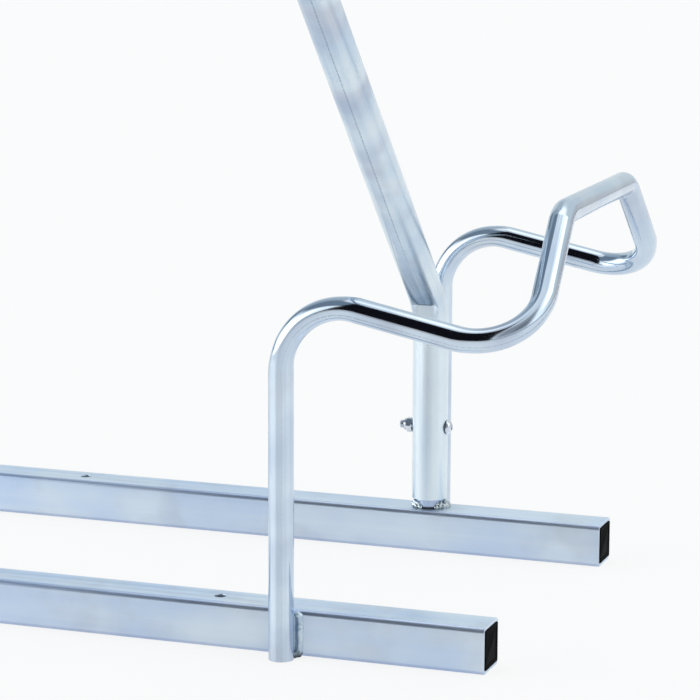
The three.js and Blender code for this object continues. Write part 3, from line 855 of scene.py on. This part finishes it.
class PipeBender:
    """Draws a ring along straight runs and round bends, as a pipe goes through a bending machine."""

    def __init__(self, radius: float, sides: int, foot: Vector, mark: Vector) -> None:
        """Lays the first ring on the floor of the pipe, heading up.

        Args:
            radius: the pipe's outer radius.
            sides: how many sides the ring has.
            foot: the centre of the first ring.
            mark: the direction of the pipe's zero line.
        """
        self.radius = radius
        self.stations = [Station(foot.copy(), Z_AXIS.copy(), mark.normalized(), 0.0)]
        clear_selection()
        turn = math.atan2(mark.y, mark.x)
        bpy.ops.mesh.primitive_circle_add(
            vertices=sides, radius=radius, fill_type="NOTHING", location=foot, rotation=(0, 0, turn))
        self.pipe = bpy.context.active_object
        settle(self.pipe)
        open_mesh(self.pipe, selected=True)

    @property
    def end(self) -> Station:
        """The last ring."""
        return self.stations[-1]

    def straight(self, length: float, cuts: int = 1) -> None:
        """Runs straight on.

        Args:
            length: how far.
            cuts: in how many steps.
        """
        for _ in range(cuts):
            last = self.end
            step = last.heading * (length / cuts)
            bpy.ops.mesh.extrude_region_move(TRANSFORM_OT_translate={"value": step})
            self.stations.append(Station(last.centre + step, last.heading.copy(), last.mark.copy(),
                                         last.run + length / cuts))

    def bend(self, towards: Vector, turn: float, radius: float, step: float = 3) -> None:
        """Bends the pipe.

        Args:
            towards: the direction from the pipe to the centre of the bend.
            turn: the angle of the bend in radians.
            radius: the bend's radius on the centre line.
            step: degrees from ring to ring.
        """
        last = self.end
        inward = (towards - last.heading * towards.dot(last.heading)).normalized()
        axis = last.heading.cross(inward)
        centre = last.centre + inward * radius
        steps = max(2, math.ceil(math.degrees(turn) / step))
        bpy.ops.mesh.spin(steps=steps, angle=-turn, center=centre, axis=axis)
        for count in range(1, steps + 1):
            angle = turn * count / steps
            spin = Quaternion(axis, angle)
            edge = min(count, steps - count) * radius * turn / steps
            self.stations.append(Station(
                centre + spin @ (inward * -radius), spin @ last.heading, spin @ last.mark,
                last.run + radius * angle, in_bend=edge, bend_side=spin @ inward))

    def follow(self, corners: Sequence[Vector], radii: Sequence[float], step: float = 3) -> None:
        """Runs through the crossing points of the straights, with a bend at each.

        Args:
            corners: the crossing points, and then the end of the pipe.
            radii: the bend radius at each crossing point.
            step: degrees from ring to ring.
        """
        for place, radius in enumerate(radii):
            corner, after = corners[place], corners[place + 1]
            outgoing = (after - corner).normalized()
            turn = self.end.heading.angle(outgoing)
            lead = radius * math.tan(turn / 2)
            self.straight((corner - self.end.centre).length - lead)
            self.bend(outgoing, turn, radius, step)
        self.straight((corners[-1] - self.end.centre).length)

    def done(self, reshape: Callable[[Vector, Station], Vector] | None, wall: float) -> Object:
        """Ends the pipe: reshapes its rings, and gives it its wall.

        Args:
            reshape: moves a point of the outer surface, given the ring it is on.
            wall: the wall's thickness.

        Returns:
            The pipe.
        """
        bpy.ops.mesh.select_all(action="SELECT")
        bpy.ops.mesh.remove_doubles(threshold=0.01 * MM)
        bpy.ops.mesh.normals_make_consistent(inside=False)
        close_mesh()
        mesh = self.pipe.data
        if reshape is not None:
            rings = self.ring_of(mesh)
            for vertex, ring in zip(mesh.vertices, rings):
                vertex.co = reshape(vertex.co, self.stations[ring])
        work_over(self.pipe, "SOLIDIFY", thickness=wall, offset=-1)
        return self.pipe

    def ring_of(self, mesh: Mesh) -> np.ndarray:
        """Finds the nearest ring for each vertex.

        Args:
            mesh: the pipe's mesh.

        Returns:
            The rings' numbers.
        """
        points = np.empty(len(mesh.vertices) * 3)
        mesh.vertices.foreach_get("co", points)
        points = points.reshape(-1, 1, 3)
        centres = np.array([station.centre for station in self.stations])
        return np.argmin(((points - centres) ** 2).sum(axis=2), axis=1)

    def lay_map(self, pipe: Object) -> None:
        """Lays a map on the pipe, in metres: the run along it, and the way round from its zero line.

        Args:
            pipe: the finished pipe.
        """
        mesh = pipe.data
        rings = self.ring_of(mesh)
        places = []
        for vertex, ring in zip(mesh.vertices, rings):
            station = self.stations[ring]
            out = vertex.co - station.centre
            run = station.run + out.dot(station.heading)
            angle = math.atan2(out.dot(station.heading.cross(station.mark)), out.dot(station.mark))
            places.append((run, angle))
        layer = mesh.uv_layers.new(name="pipe")
        for polygon in mesh.polygons:
            first = places[mesh.loops[polygon.loop_indices[0]].vertex_index][1]
            for loop in polygon.loop_indices:
                run, angle = places[mesh.loops[loop].vertex_index]
                if angle - first > math.pi:
                    angle -= 2 * math.pi
                elif angle - first < -math.pi:
                    angle += 2 * math.pi
                layer.data[loop].uv = (run, angle * self.radius)


@dataclass
class WheelLoop(Piece):
    """A wheel holder bent from one 21.3 mm pipe: two legs, two falling arms and a raised hoop.

    The pipe's weld seam faces outwards and a little up on the crossbar of the hoop.
    """

    diameter: float = 21.3 * MM
    wall: float = 2 * MM
    arm_root: float = 311.6 * MM
    valley: float = 267.8 * MM
    reach: float = 211.3 * MM
    hoop_top: float = 370.3 * MM
    hoop_setback: float = 5.6 * MM
    hoop_width: float = 206.8 * MM
    leg_bend: float = 55 * MM
    valley_bend: float = 54.4 * MM
    hoop_bend: float = 28.8 * MM
    flattening: float = 0.08
    ease: float = 14 * MM
    seam_turn: float = -66.5

    def build(self) -> None:
        """Makes the right loop and its copy."""
        low, high = node_box("wheel_loop_right")
        leg_x = low.x + self.diameter / 2
        middle = (low.y + high.y) / 2
        half = (high.y - low.y - self.diameter) / 2

        def corner(out: float, across: float, up: float) -> Vector:
            """A point by its way out from the legs, across from the middle, and up."""
            return Vector((leg_x + out, middle + across, up))

        hoop_out = self.reach - self.hoop_setback
        corners = [
            corner(0, -half, self.arm_root), corner(self.reach, -half, self.valley),
            corner(hoop_out, -self.hoop_width / 2, self.hoop_top),
            corner(hoop_out, self.hoop_width / 2, self.hoop_top),
            corner(self.reach, half, self.valley), corner(0, half, self.arm_root), corner(0, half, 0),
        ]
        radii = [self.leg_bend, self.valley_bend, self.hoop_bend]
        seam = Vector((math.cos(math.radians(self.seam_turn)), math.sin(math.radians(self.seam_turn)), 0))
        bender = PipeBender(self.diameter / 2, 48, corner(0, -half, 0), seam)
        bender.follow(corners, radii + radii[::-1])

        def flatten(point: Vector, station: Station) -> Vector:
            """Flattens the rings in a bend.

            Args:
                point: a point of the outer surface.
                station: the ring it is on.

            Returns:
                Where the point goes.
            """
            share = min(station.in_bend / self.ease, 1.0)
            out = point - station.centre
            depth = out.dot(station.bend_side)
            return point - station.bend_side * (depth * self.flattening * share)

        pipe = bender.done(flatten, self.wall)
        bender.lay_map(pipe)
        finish_both(pipe, "wheel_loop_{side}", self.skin, LeftCopy.TURNED_IN_PLAN)


@dataclass
class ArmCap(Piece):
    """A moulded cap with a low crown and a hollow insert, pushed into the upper end of an arm."""

    gap: float = 0.3
    diameter: float = 33.7
    insert_radius: float = 13.95
    insert_wall: float = 2.4
    insert_length: float = 16
    rim: float = 1.6
    crown: float = 3.15

    def build(self, seat: Vector, axis: Vector) -> None:
        """Makes the right cap and its copy.

        Args:
            seat: the middle of the arm's upper end.
            axis: the arm's direction there.
        """
        radius = self.diameter / 2
        edge = self.gap + self.rim
        profile = [
            (self.insert_radius - self.insert_wall, self.gap + 0.6),
            (self.insert_radius - self.insert_wall, -self.insert_length),
            (self.insert_radius - 0.8, -self.insert_length), (self.insert_radius, -self.insert_length + 1.2),
            (self.insert_radius, self.gap), (radius - 0.4, self.gap), (radius, self.gap + 0.4), (radius, edge),
        ]
        rise = self.crown - self.rim
        for step in range(1, 9):
            angle = math.radians(90 * step / 9)
            profile.append((radius * math.cos(angle), edge + rise * math.sin(angle)))
        cap = turn_on_lathe(profile, seat, axis, 64)
        finish_both(cap, "arm_cap_{side}", self.skin, LeftCopy.MOVED)


@dataclass
class LeanArm(Piece):
    """A 33.7 mm pipe that stands over the stub and is pressed into one bend, which folds its inner wall."""

    cap: ArmCap
    diameter: float = 33.7 * MM
    wall: float = 2.6 * MM
    bend_height: float = 232 * MM
    bend_radius: float = 60 * MM
    lean: float = 45
    fold: float = 35.3
    dent_length: float = 115 * MM
    press_flat: float = 30
    press_edge: float = 62
    seam_turn: float = 7.4
    hole: float = 9 * MM

    def build(self) -> None:
        """Makes the right arm with its cap, and their copies."""
        low, high = node_box("lean_arm_right")
        radius = self.diameter / 2
        foot = Vector(((low.x + high.x) / 2, high.y - radius, low.z))
        seam_turn = math.radians(self.seam_turn)
        seam = Vector((math.sin(seam_turn), -math.cos(seam_turn), 0))
        lean = math.radians(self.lean)
        fold = math.radians(self.fold)
        tangent = self.bend_radius * math.tan(lean / 2)
        bender = PipeBender(radius, 72, foot, seam)
        bender.straight(self.bend_height - tangent - foot.z, cuts=6)
        front = Vector((0, -1, 0))
        bender.bend(front, fold, self.bend_radius, step=2.5)
        fold_run = bender.end.run
        bender.bend(front, lean - fold, self.bend_radius, step=2.5)
        bend_run = bender.end.run
        slope_top = high.z - radius * math.sin(lean)
        slope = (slope_top - bender.end.centre.z) / math.cos(lean)
        bender.straight(self.dent_length, cuts=30)
        bender.straight(slope - self.dent_length, cuts=8)
        inner_bend = self.bend_radius - radius
        bend_start = fold_run - self.bend_radius * fold
        deepest = self.bend_radius - inner_bend / math.cos(fold)

        def flat_at(run: float) -> float:
            """Says where the pressed inner wall lies.

            Args:
                run: the run along the pipe.

            Returns:
                Its distance from the centre line.
            """
            if run <= bend_start:
                return radius
            if run <= fold_run:
                return self.bend_radius - inner_bend / math.cos((run - bend_start) / self.bend_radius)
            share = min((run - fold_run) / (bend_run - fold_run + self.dent_length), 1)
            return radius - (radius - deepest) * (1 - share) ** 2

        def press(point: Vector, station: Station) -> Vector:
            """Pushes the inner wall in.

            Args:
                point: a point of the outer surface.
                station: the ring it is on.

            Returns:
                Where the point goes.
            """
            inward = X_AXIS.cross(station.heading)
            out = point - station.centre
            depth = out.dot(inward)
            angle = math.degrees(math.acos(max(-1.0, min(1.0, depth / radius))))
            share = max(0.0, min(1.0, (angle - self.press_flat) / (self.press_edge - self.press_flat)))
            hold = 1 - share * share * (3 - 2 * share)
            return point + inward * (hold * (min(depth, flat_at(station.run)) - depth))

        pipe = bender.done(press, self.wall)
        bolt = node_centre("arm_bolt_right")
        start = Vector((foot.x - self.diameter, foot.y, bolt.z))
        cut_with(pipe, drill(start, X_AXIS, self.hole / 2, 2 * self.diameter))
        bender.lay_map(pipe)
        finish_both(pipe, "lean_arm_{side}", self.skin, LeftCopy.MOVED)
        self.cap.build(bender.end.centre, bender.end.heading)


@dataclass
class ArmStub(Piece):
    """A short pipe, welded upright on the rear rail, that carries the arm."""

    diameter: float = 26.9 * MM
    wall: float = 2.3 * MM
    seam: tuple[float, float, float] = (0.24, -0.97, 0)
    hole: float = 9 * MM

    def build(self) -> None:
        """Makes the right stub and its copy."""
        low, high = node_box("arm_stub_right")
        foot = Vector(((low.x + high.x) / 2, (low.y + high.y) / 2, low.z))
        bender = PipeBender(self.diameter / 2, 48, foot, Vector(self.seam))
        bender.straight(high.z - low.z, cuts=6)
        pipe = bender.done(None, self.wall)
        start = Vector((foot.x - self.diameter, foot.y, node_centre("arm_bolt_right").z))
        cut_with(pipe, drill(start, X_AXIS, self.hole / 2, 2 * self.diameter))
        bender.lay_map(pipe)
        finish_both(pipe, "arm_stub_{side}", self.skin, LeftCopy.MOVED)


@dataclass
class ArmBolt(Piece):
    """An M8 button-head screw through arm and stub, its thread end standing past the nut."""

    seat: float = 17.15
    nut: float = 8
    proud: float = 4.4
    pitch: float = 1.25
    thread_depth: float = 0.6
    socket: float = 5
    socket_depth: float = 2.6
    head: Sequence[tuple[float, float]] = (
        (4, 0), (6.8, 0), (7, 0.2), (7, 0.5), (6.75, 1.3), (6.2, 2.2), (5.4, 3.05), (4.5, 3.75), (3.7, 4.2),
        (3.3, 4.38), (3.2, 4.4))

    def build(self) -> None:
        """Makes the right screw and its copy."""
        centre = node_centre("arm_bolt_right")
        arm = node_centre("arm_stub_right")
        middle = Vector((arm.x, arm.y, centre.z))
        tip = -(self.seat + self.nut + self.proud)
        root = 4 - self.thread_depth
        profile = [(root - 0.5, tip), (root, tip + 0.5)]
        place = tip + 0.5
        while place < -self.seat - self.pitch:
            profile += [(3.9, place + 0.45), (3.9, place + 0.6), (root, place + 1.05), (root, place + self.pitch)]
            place += self.pitch
        profile += [(4, place + 0.5)]
        profile += [(radius, self.seat + height) for radius, height in self.head]
        screw = turn_on_lathe(profile, middle, X_AXIS)
        flat = self.socket / math.sqrt(3) * MM
        bottom = middle + X_AXIS * ((self.seat + self.head[-1][1] - self.socket_depth) * MM)
        cut_with(screw, drill(bottom, X_AXIS, flat, 2 * self.socket_depth * MM, sides=6))
        work_over(screw, "BEVEL", width=0.12 * MM, segments=2, limit_method="ANGLE", angle_limit=math.radians(50))
        finish_both(screw, "arm_bolt_{side}", self.skin, LeftCopy.TURNED_ABOUT_ARM)


@dataclass
class ArmNut(Piece):
    """An M8 lock nut: a hexagon with chamfered corners and a round collar that grips the thread."""

    seat: float = 17.15
    across_flats: float = 13
    hexagon: float = 5.4
    height: float = 8
    collar: float = 5.8
    bore: float = 4.3
    turn: float = 30

    def build(self) -> None:
        """Makes the right nut and its copy."""
        centre = node_centre("arm_nut_right")
        arm = node_centre("arm_stub_right")
        inward = -X_AXIS
        seat = Vector((arm.x, arm.y, centre.z)) + inward * (self.seat * MM)
        corner = self.across_flats / math.sqrt(3)
        flat = self.across_flats / 2
        nut = turn_on_lathe([(corner, 0), (corner, self.hexagon)], seat, inward, sides=6, turn=self.turn)
        chamfer = [(flat, 0), (corner + 0.1, 0.7), (corner + 0.1, self.hexagon - 0.9), (flat, self.hexagon)]
        cut_with(nut, turn_on_lathe(chamfer, seat, inward), "INTERSECT")
        collar = [
            (self.collar, self.hexagon - 1), (self.collar, self.height - 0.9), (self.collar - 0.25, self.height - 0.3),
            (self.collar - 0.9, self.height),
        ]
        cut_with(nut, turn_on_lathe(collar, seat, inward), "UNION")
        cut_with(nut, drill(seat - inward * MM, inward, self.bore * MM, (self.height + 2) * MM))
        work_over(nut, "BEVEL", width=0.2 * MM, segments=2, limit_method="ANGLE", angle_limit=math.radians(40))
        finish_both(nut, "arm_nut_{side}", self.skin, LeftCopy.TURNED_ABOUT_ARM)


# Weld beads


def pour_drops(drops: Sequence[tuple[Vector, float]], voxel: float, melt: int) -> Object:
    """Melts overlapping drops of weld metal into one bead.

    Args:
        drops: the centre and the radius of each drop.
        voxel: how fine the bead's surface is.
        melt: how often it is smoothed.

    Returns:
        The bead.
    """
    balls = []
    for centre, radius in drops:
        clear_selection()
        bpy.ops.mesh.primitive_ico_sphere_add(subdivisions=2, radius=radius, location=centre)
        balls.append(bpy.context.active_object)
    for ball in balls:
        ball.select_set(True)
    bpy.ops.object.join()
    bead = bpy.context.active_object
    settle(bead)
    work_over(bead, "REMESH", mode="VOXEL", voxel_size=voxel)
    work_over(bead, "SMOOTH", factor=0.5, iterations=melt)
    return bead


def cut_flat(piece: Object, point: Vector, outside: Vector, size: float = 100 * MM) -> None:
    """Cuts a piece off at a level or upright plane, with a block as the tool.

    Args:
        piece: the piece.
        point: a point of the plane.
        outside: the direction of what is cut off, along an axis.
        size: the block's size.
    """
    clear_selection()
    bpy.ops.mesh.primitive_cube_add(size=size, location=point + outside * (size / 2))
    cut_with(piece, bpy.context.active_object)


@dataclass
class LegWeld(Piece):
    """The bead that runs up a rail's face in the corner beside a leg, on both sides of each leg."""

    leg: float = 10.65 * MM
    bottom: float = 4 * MM
    top: float = 34.5 * MM
    step: float = 2.2 * MM
    ridge_out: float = 12.2 * MM
    ridge_off: float = -1.0 * MM
    ridge_radius: float = 3.7 * MM
    ridge_sway: float = 0.4 * MM
    ridge_lift: float = 0.3 * MM
    ridge_swell: float = 0.2 * MM
    valley: Sequence[tuple[float, float, float]] = (
        (6.2 * MM, 1.2 * MM, 1.5 * MM), (8.2 * MM, -0.7 * MM, 1.4 * MM))
    last_drop: tuple[float, float, float, float] = (10.8 * MM, 0.8 * MM, 36.4 * MM, 3.0 * MM)
    toe_drops: Sequence[tuple[float, float, float, float]] = (
        (7.6 * MM, 4.2 * MM, 1.4 * MM, 4.0 * MM), (11.0 * MM, 0.8 * MM, 2.2 * MM, 3.6 * MM))
    voxel: float = 0.4 * MM
    melt: int = 18
    bite: float = 0.1 * MM
    foot: float = 0.2 * MM
    sink: float = 0.15 * MM
    seed: int = 11

    def build(self) -> None:
        """Makes one bead and its seven copies."""
        stub = node_centre("arm_stub_right")
        middle = node_centre("wheel_loop_right").y
        rail_low, _ = node_box("front_rail")
        leg_low, _ = node_box("wheel_loop_right")
        axis = Vector((stub.x, leg_low.y + self.leg, 0))
        chance = np.random.default_rng(self.seed)
        drops = []
        rows = round((self.top - self.bottom) / self.step)
        for row in range(rows + 1):
            up = self.bottom + (self.top - self.bottom) * row / rows
            sway, swell, lift = chance.uniform(-1, 1, 3)
            ridge = axis.x + self.ridge_out + self.ridge_sway * sway
            drops.append((
                Vector((ridge, rail_low.y - self.ridge_off, up + self.ridge_lift * lift)),
                self.ridge_radius + self.ridge_swell * swell))
            for out, off, radius in self.valley:
                drops.append((Vector((axis.x + out, rail_low.y - off, up)), radius))
        for out, off, up, radius in (self.last_drop, *self.toe_drops):
            drops.append((Vector((axis.x + out, rail_low.y - off, up)), radius))
        bead = pour_drops(drops, self.voxel, self.melt)
        cut_with(bead, drill(axis - Z_AXIS * self.leg, Z_AXIS, self.leg - self.bite, 6 * self.leg, 96))
        cut_flat(bead, Vector((axis.x, rail_low.y + self.sink, 0)), Y_AXIS)
        cut_flat(bead, Vector((axis.x, rail_low.y, self.foot)), -Z_AXIS)
        for side in Side:
            for place, outer in (("outer", 1), ("inner", -1)):
                for rail, front in (("front", 1), ("rear", -1)):
                    across = side.value * outer
                    copy = copy_piece(bead, Vector((across, front, 1)), Vector((
                        side.value * axis.x - across * axis.x, middle * (1 - front), 0)))
                    finish_piece(copy, f"{rail}_leg_weld_{side.word}_{place}", self.skin, 50)
        bpy.data.objects.remove(bead, do_unlink=True)


@dataclass
class StubWeld(Piece):
    """The two beads round the foot of a stub: small bright drops at the front, then a smooth pad.

    A drop is its place round the stub in degrees from +X, its distance from the stub, its height over
    the rail and its radius, in millimetres.
    """

    stub: float = 13.45 * MM
    swell: float = 1.08
    voxel: float = 0.35 * MM
    melt: int = 7
    bite: float = 0.1 * MM
    beads: Sequence[tuple[str, Sequence[tuple[float, float, float, float]]]] = (
        ("outer", (
            (-46, 0.6, 1.6, 2.0), (-32, 1.0, 2.2, 2.5), (-40, 0.2, 4.6, 1.5), (-24, 0.4, 5.0, 2.0),
            (-15, 2.0, 1.8, 3.0), (-2, 3.2, 1.2, 3.7), (12, 3.3, 1.2, 3.7), (26, 3.2, 1.2, 3.7),
            (38, 2.6, 1.4, 3.3), (2, 0.8, 3.8, 2.6), (20, 0.8, 3.8, 2.6), (50, 1.2, 1.8, 2.4))),
        ("inner", (
            (250, 0.6, 1.9, 2.2), (238, 0.4, 5.0, 1.9), (232, 1.2, 2.2, 2.5), (222, 0.5, 5.0, 2.1),
            (213, 1.3, 2.2, 2.6), (204, 0.4, 5.0, 2.0), (195, 1.5, 2.3, 2.6), (184, 0.5, 5.0, 2.0),
            (176, 1.6, 2.3, 2.6), (165, 0.5, 5.0, 2.0), (158, 1.2, 2.2, 2.5), (147, 0.6, 1.8, 2.1))),
    )

    def build(self) -> None:
        """Makes the beads of the right stub and their copies."""
        stub = node_centre("arm_stub_right")
        _, rail_high = node_box("rear_rail")
        foot = Vector((stub.x, stub.y, rail_high.z))
        for place, listed in self.beads:
            drops = [
                (foot + self.direction(angle) * (self.stub + out * MM) + Z_AXIS * (up * MM), self.swell * radius * MM)
                for angle, out, up, radius in listed]
            bead = pour_drops(drops, self.voxel, self.melt)
            cut_with(bead, drill(foot - Z_AXIS * (10 * MM), Z_AXIS, self.stub - self.bite, 40 * MM, 96))
            cut_flat(bead, foot - Z_AXIS * self.bite, -Z_AXIS)
            finish_both(bead, f"stub_weld_{{side}}_{place}", self.skin, LeftCopy.TURNED_ABOUT_ARM, 60)

    @staticmethod
    def direction(angle: float) -> Vector:
        """The level direction at an angle in degrees from +X."""
        return Vector((math.cos(math.radians(angle)), math.sin(math.radians(angle)), 0))


# Assembly


def dress_rack(skins: Wardrobe) -> None:
    """Makes every piece of the rack in order.

    Args:
        skins: the finishes.
    """
    GroundRail(skins.rail, "front_rail", holes=(-0.293, 0.293)).build()
    GroundRail(skins.rail, "rear_rail", holes=(0.0,)).build()
    for side in Side:
        for rail in ("front", "rear"):
            RailPlug(skins.plug, f"{rail}_rail_plug_{side.word}", side).build()
    cap = ArmCap(skins.plug)
    for piece in (
        WheelLoop(skins.loop), LegWeld(skins.seam), ArmStub(skins.stub), StubWeld(skins.weld), LeanArm(skins.arm, cap),
        ArmBolt(skins.fastener), ArmNut(skins.fastener),
    ):
        piece.build()


def dress_nodes(skins: Wardrobe) -> None:
    """Gives every CAD node its finish.

    Args:
        skins: the finishes.
    """
    finishes = {
        "weld": skins.weld, "plug": skins.plug, "cap": skins.plug, "bolt": skins.fastener, "nut": skins.fastener,
        "rail": skins.rail, "loop": skins.loop, "": skins.arm,
    }
    for name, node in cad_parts.items():
        node.data.materials.clear()
        node.data.materials.append(next(skin for word, skin in finishes.items() if word in name))


# Studio


@dataclass(frozen=True)
class StudioPatch:
    """A lamp, a reflector or a dark place of the studio, as the metal sees it.

    Turns are degrees round the rack from straight in front of it, positive towards -X. Rises are
    degrees above the horizon.
    """

    turns: tuple[float, float]
    rises: tuple[float, float]
    soft: tuple[float, float]
    tone: str
    strength: float = 1.0


STUDIO_WALL = "#F1F6F8"
STUDIO_PATCHES = tuple(StudioPatch(*row) for row in (
    ((-400, 400), (66, 120), (1, 8), "#FFFFFF", 1.05),  # ceiling
    ((-110, 110), (74, 89), (8, 4), "#CED5DB"),         # ceiling over the camera
    ((-90, -30), (62, 80), (8, 6), "#C9CFD4"),          # lower ceiling on the right
    ((100, 400), (-20, 58), (14, 8), "#BCC4C7"),        # backdrop, left half
    ((-400, -100), (-20, 58), (14, 8), "#BCC4C7"),      # backdrop, right half
    ((-125, 140), (-8, 4), (6, 3), "#7D90A0"),          # dim far edge of the floor
    ((-165, -118), (-12, 16), (8, 5), "#B2AFAE"),       # brown-grey wall behind on the right
    ((-70, -27), (6, 62), (7, 10), "#8B9095"),          # grey corner right of the camera
    ((-62, -46), (17, 38), (6, 8), "#6F7378"),          # darker spot in it
    ((100, 160), (30, 70), (8, 6), "#A2ABB3"),          # grey wall behind on the left
    ((96, 130), (12, 66), (6, 6), "#8E9BA4"),           # darker wall on the far left
    ((112, 128), (14, 30), (4, 5), "#66727D"),          # dark post in it
    ((22, 106), (34, 72), (4, 5), "#697683"),           # dark wall over the left softbox
    ((-26, 25), (-20, 77), (2, 4), "#0E0C12"),          # dark opening behind the camera
    ((37, 98), (-20, 26), (4, 4), "#FFFFFF", 1.7),      # left softbox
    ((-112, -86), (30, 56), (5, 6), "#FFFFFF", 1.7),    # right softbox
))


@dataclass
class Studio:
    """A plain white studio: pale floor, soft lights and the camera at the photograph's place."""

    camera_at: Vector = field(default_factory=lambda: Vector((1.19237, -2.29064, 0.69899)))
    yaw: float = -0.34198
    pitch: float = 0.18604
    roll: float = -0.00358
    lens: float = 149.169
    shadow_share: float = 0.15
    light: float = 1.5
    plain_share: float = 0.45
    plain_light: float = 1.28
    sheet_front: float = -1.6
    sheet_blur: float = 0.2
    sheet_size: float = 60
    sheet_drop: float = 0.2 * MM
    sheet_roughness: float = 0.3
    sheet_tone: str = "#F8F9FA"
    bare_tone: str = "#20222A"

    def build(self) -> None:
        """Sets up the camera, the floor and the world."""
        self.set_camera()
        self.lay_floor()
        self.light_world()
        bpy.context.scene.view_settings.view_transform = "Standard"

    def set_camera(self) -> None:
        """Puts the camera where the photograph was taken from."""
        forward = Vector((math.sin(self.yaw) * math.cos(self.pitch), math.cos(self.yaw) * math.cos(self.pitch),
                          -math.sin(self.pitch)))
        right = Vector((math.cos(self.yaw), -math.sin(self.yaw), 0))
        down = forward.cross(right)
        right_rolled = right * math.cos(self.roll) + down * math.sin(self.roll)
        down_rolled = down * math.cos(self.roll) - right * math.sin(self.roll)
        data = bpy.data.cameras.new("photo_camera")
        data.lens = self.lens
        data.sensor_width = 36
        data.clip_start = 0.05
        data.clip_end = 100
        camera = bpy.data.objects.new("photo_camera", data)
        bpy.context.scene.collection.objects.link(camera)
        turn = Matrix((right_rolled, -down_rolled, -forward)).transposed()
        camera.matrix_world = Matrix.Translation(self.camera_at) @ turn.to_4x4()
        bpy.context.scene.camera = camera

    def lay_floor(self) -> None:
        """Lays the pale floor of satin white sheet.

        The camera sees it white, with a share of the rack's soft shadow. The metal sees the sheet with
        its own soft gloss, which shows the lamps and the dark opening again, and the bare dark floor
        where the sheet ends in front.
        """
        clear_selection()
        bpy.ops.mesh.primitive_plane_add(size=self.sheet_size, location=(0, 0, -self.sheet_drop))
        floor = bpy.context.active_object
        floor.name = "studio_floor"
        skin = bpy.data.materials.new("white_studio_sheet")
        graph = NodeGraph(skin)
        paths = graph.add("LightPath")
        matt = graph.add("BsdfDiffuse", linear(self.sheet_tone))
        depth = graph.add("SeparateXYZ", graph.add("TexCoord").outputs["Object"]).outputs["Y"]
        graph.colour = linear(self.bare_tone)
        edge = (self.sheet_front - self.sheet_blur, self.sheet_front + self.sheet_blur)
        graph.paint(graph.add("MapRange", depth, *edge), self.sheet_tone)
        satin = graph.add("BsdfPrincipled", graph.colour, Roughness=self.sheet_roughness, IOR=1.5)
        white = graph.add("Emission", WHITE)
        bright = graph.add("Emission", WHITE, self.plain_light)
        to_camera = graph.add("MixShader", 1 - self.shadow_share, matt, white)
        plain = graph.product(paths.outputs["Is Glossy Ray"], self.plain_share)
        to_metal = graph.add("MixShader", plain, satin, bright)
        graph.add("OutputMaterial", graph.add("MixShader", paths.outputs["Is Camera Ray"], to_metal, to_camera))
        floor.data.materials.append(skin)

    def light_world(self) -> None:
        """Lights the studio with its lamps and walls. The camera sees plain white behind the rack."""
        world = bpy.data.worlds.new("studio")
        bpy.context.scene.world = world
        graph = NodeGraph(world)
        paths = graph.add("LightPath")
        split = graph.add("SeparateXYZ", graph.add("TexCoord").outputs["Generated"])
        back = [graph.product(split.outputs[axis], -1.0) for axis in "XY"]
        turn_radians = graph.add("Math", *back, operation="ARCTAN2")
        turn = graph.add("Math", turn_radians, operation="DEGREES")
        rise_radians = graph.add("Math", split.outputs["Z"], operation="ARCSINE")
        rise = graph.add("Math", rise_radians, operation="DEGREES")
        wall = graph.add("RGB")
        wall.outputs[0].default_value = linear(STUDIO_WALL)
        graph.colour = wall
        for patch in STUDIO_PATCHES:
            # A share is 1 inside the patch's span and 0 outside it, with soft ends
            across, up = (
                graph.product(*(
                    graph.add("MapRange", value, end - blur, end + blur, **SMOOTH)
                    for end, blur in zip(span, (soft, -soft))))
                for value, span, soft in zip((turn, rise), (patch.turns, patch.rises), patch.soft))
            graph.paint(graph.product(across, up), patch.tone, patch.strength)
        lamps = graph.add("Background", graph.colour, self.light)
        white = graph.add("Background", WHITE)
        graph.add("OutputWorld", graph.add("MixShader", paths.outputs["Is Camera Ray"], lamps, white))


def main() -> None:
    """Builds the whole scene."""
    Studio().build()
    skins = Wardrobe()
    dress_nodes(skins)
    dress_rack(skins)
    clear_selection()
    log.info("sizes written")


if __name__ == "__main__":
    main()
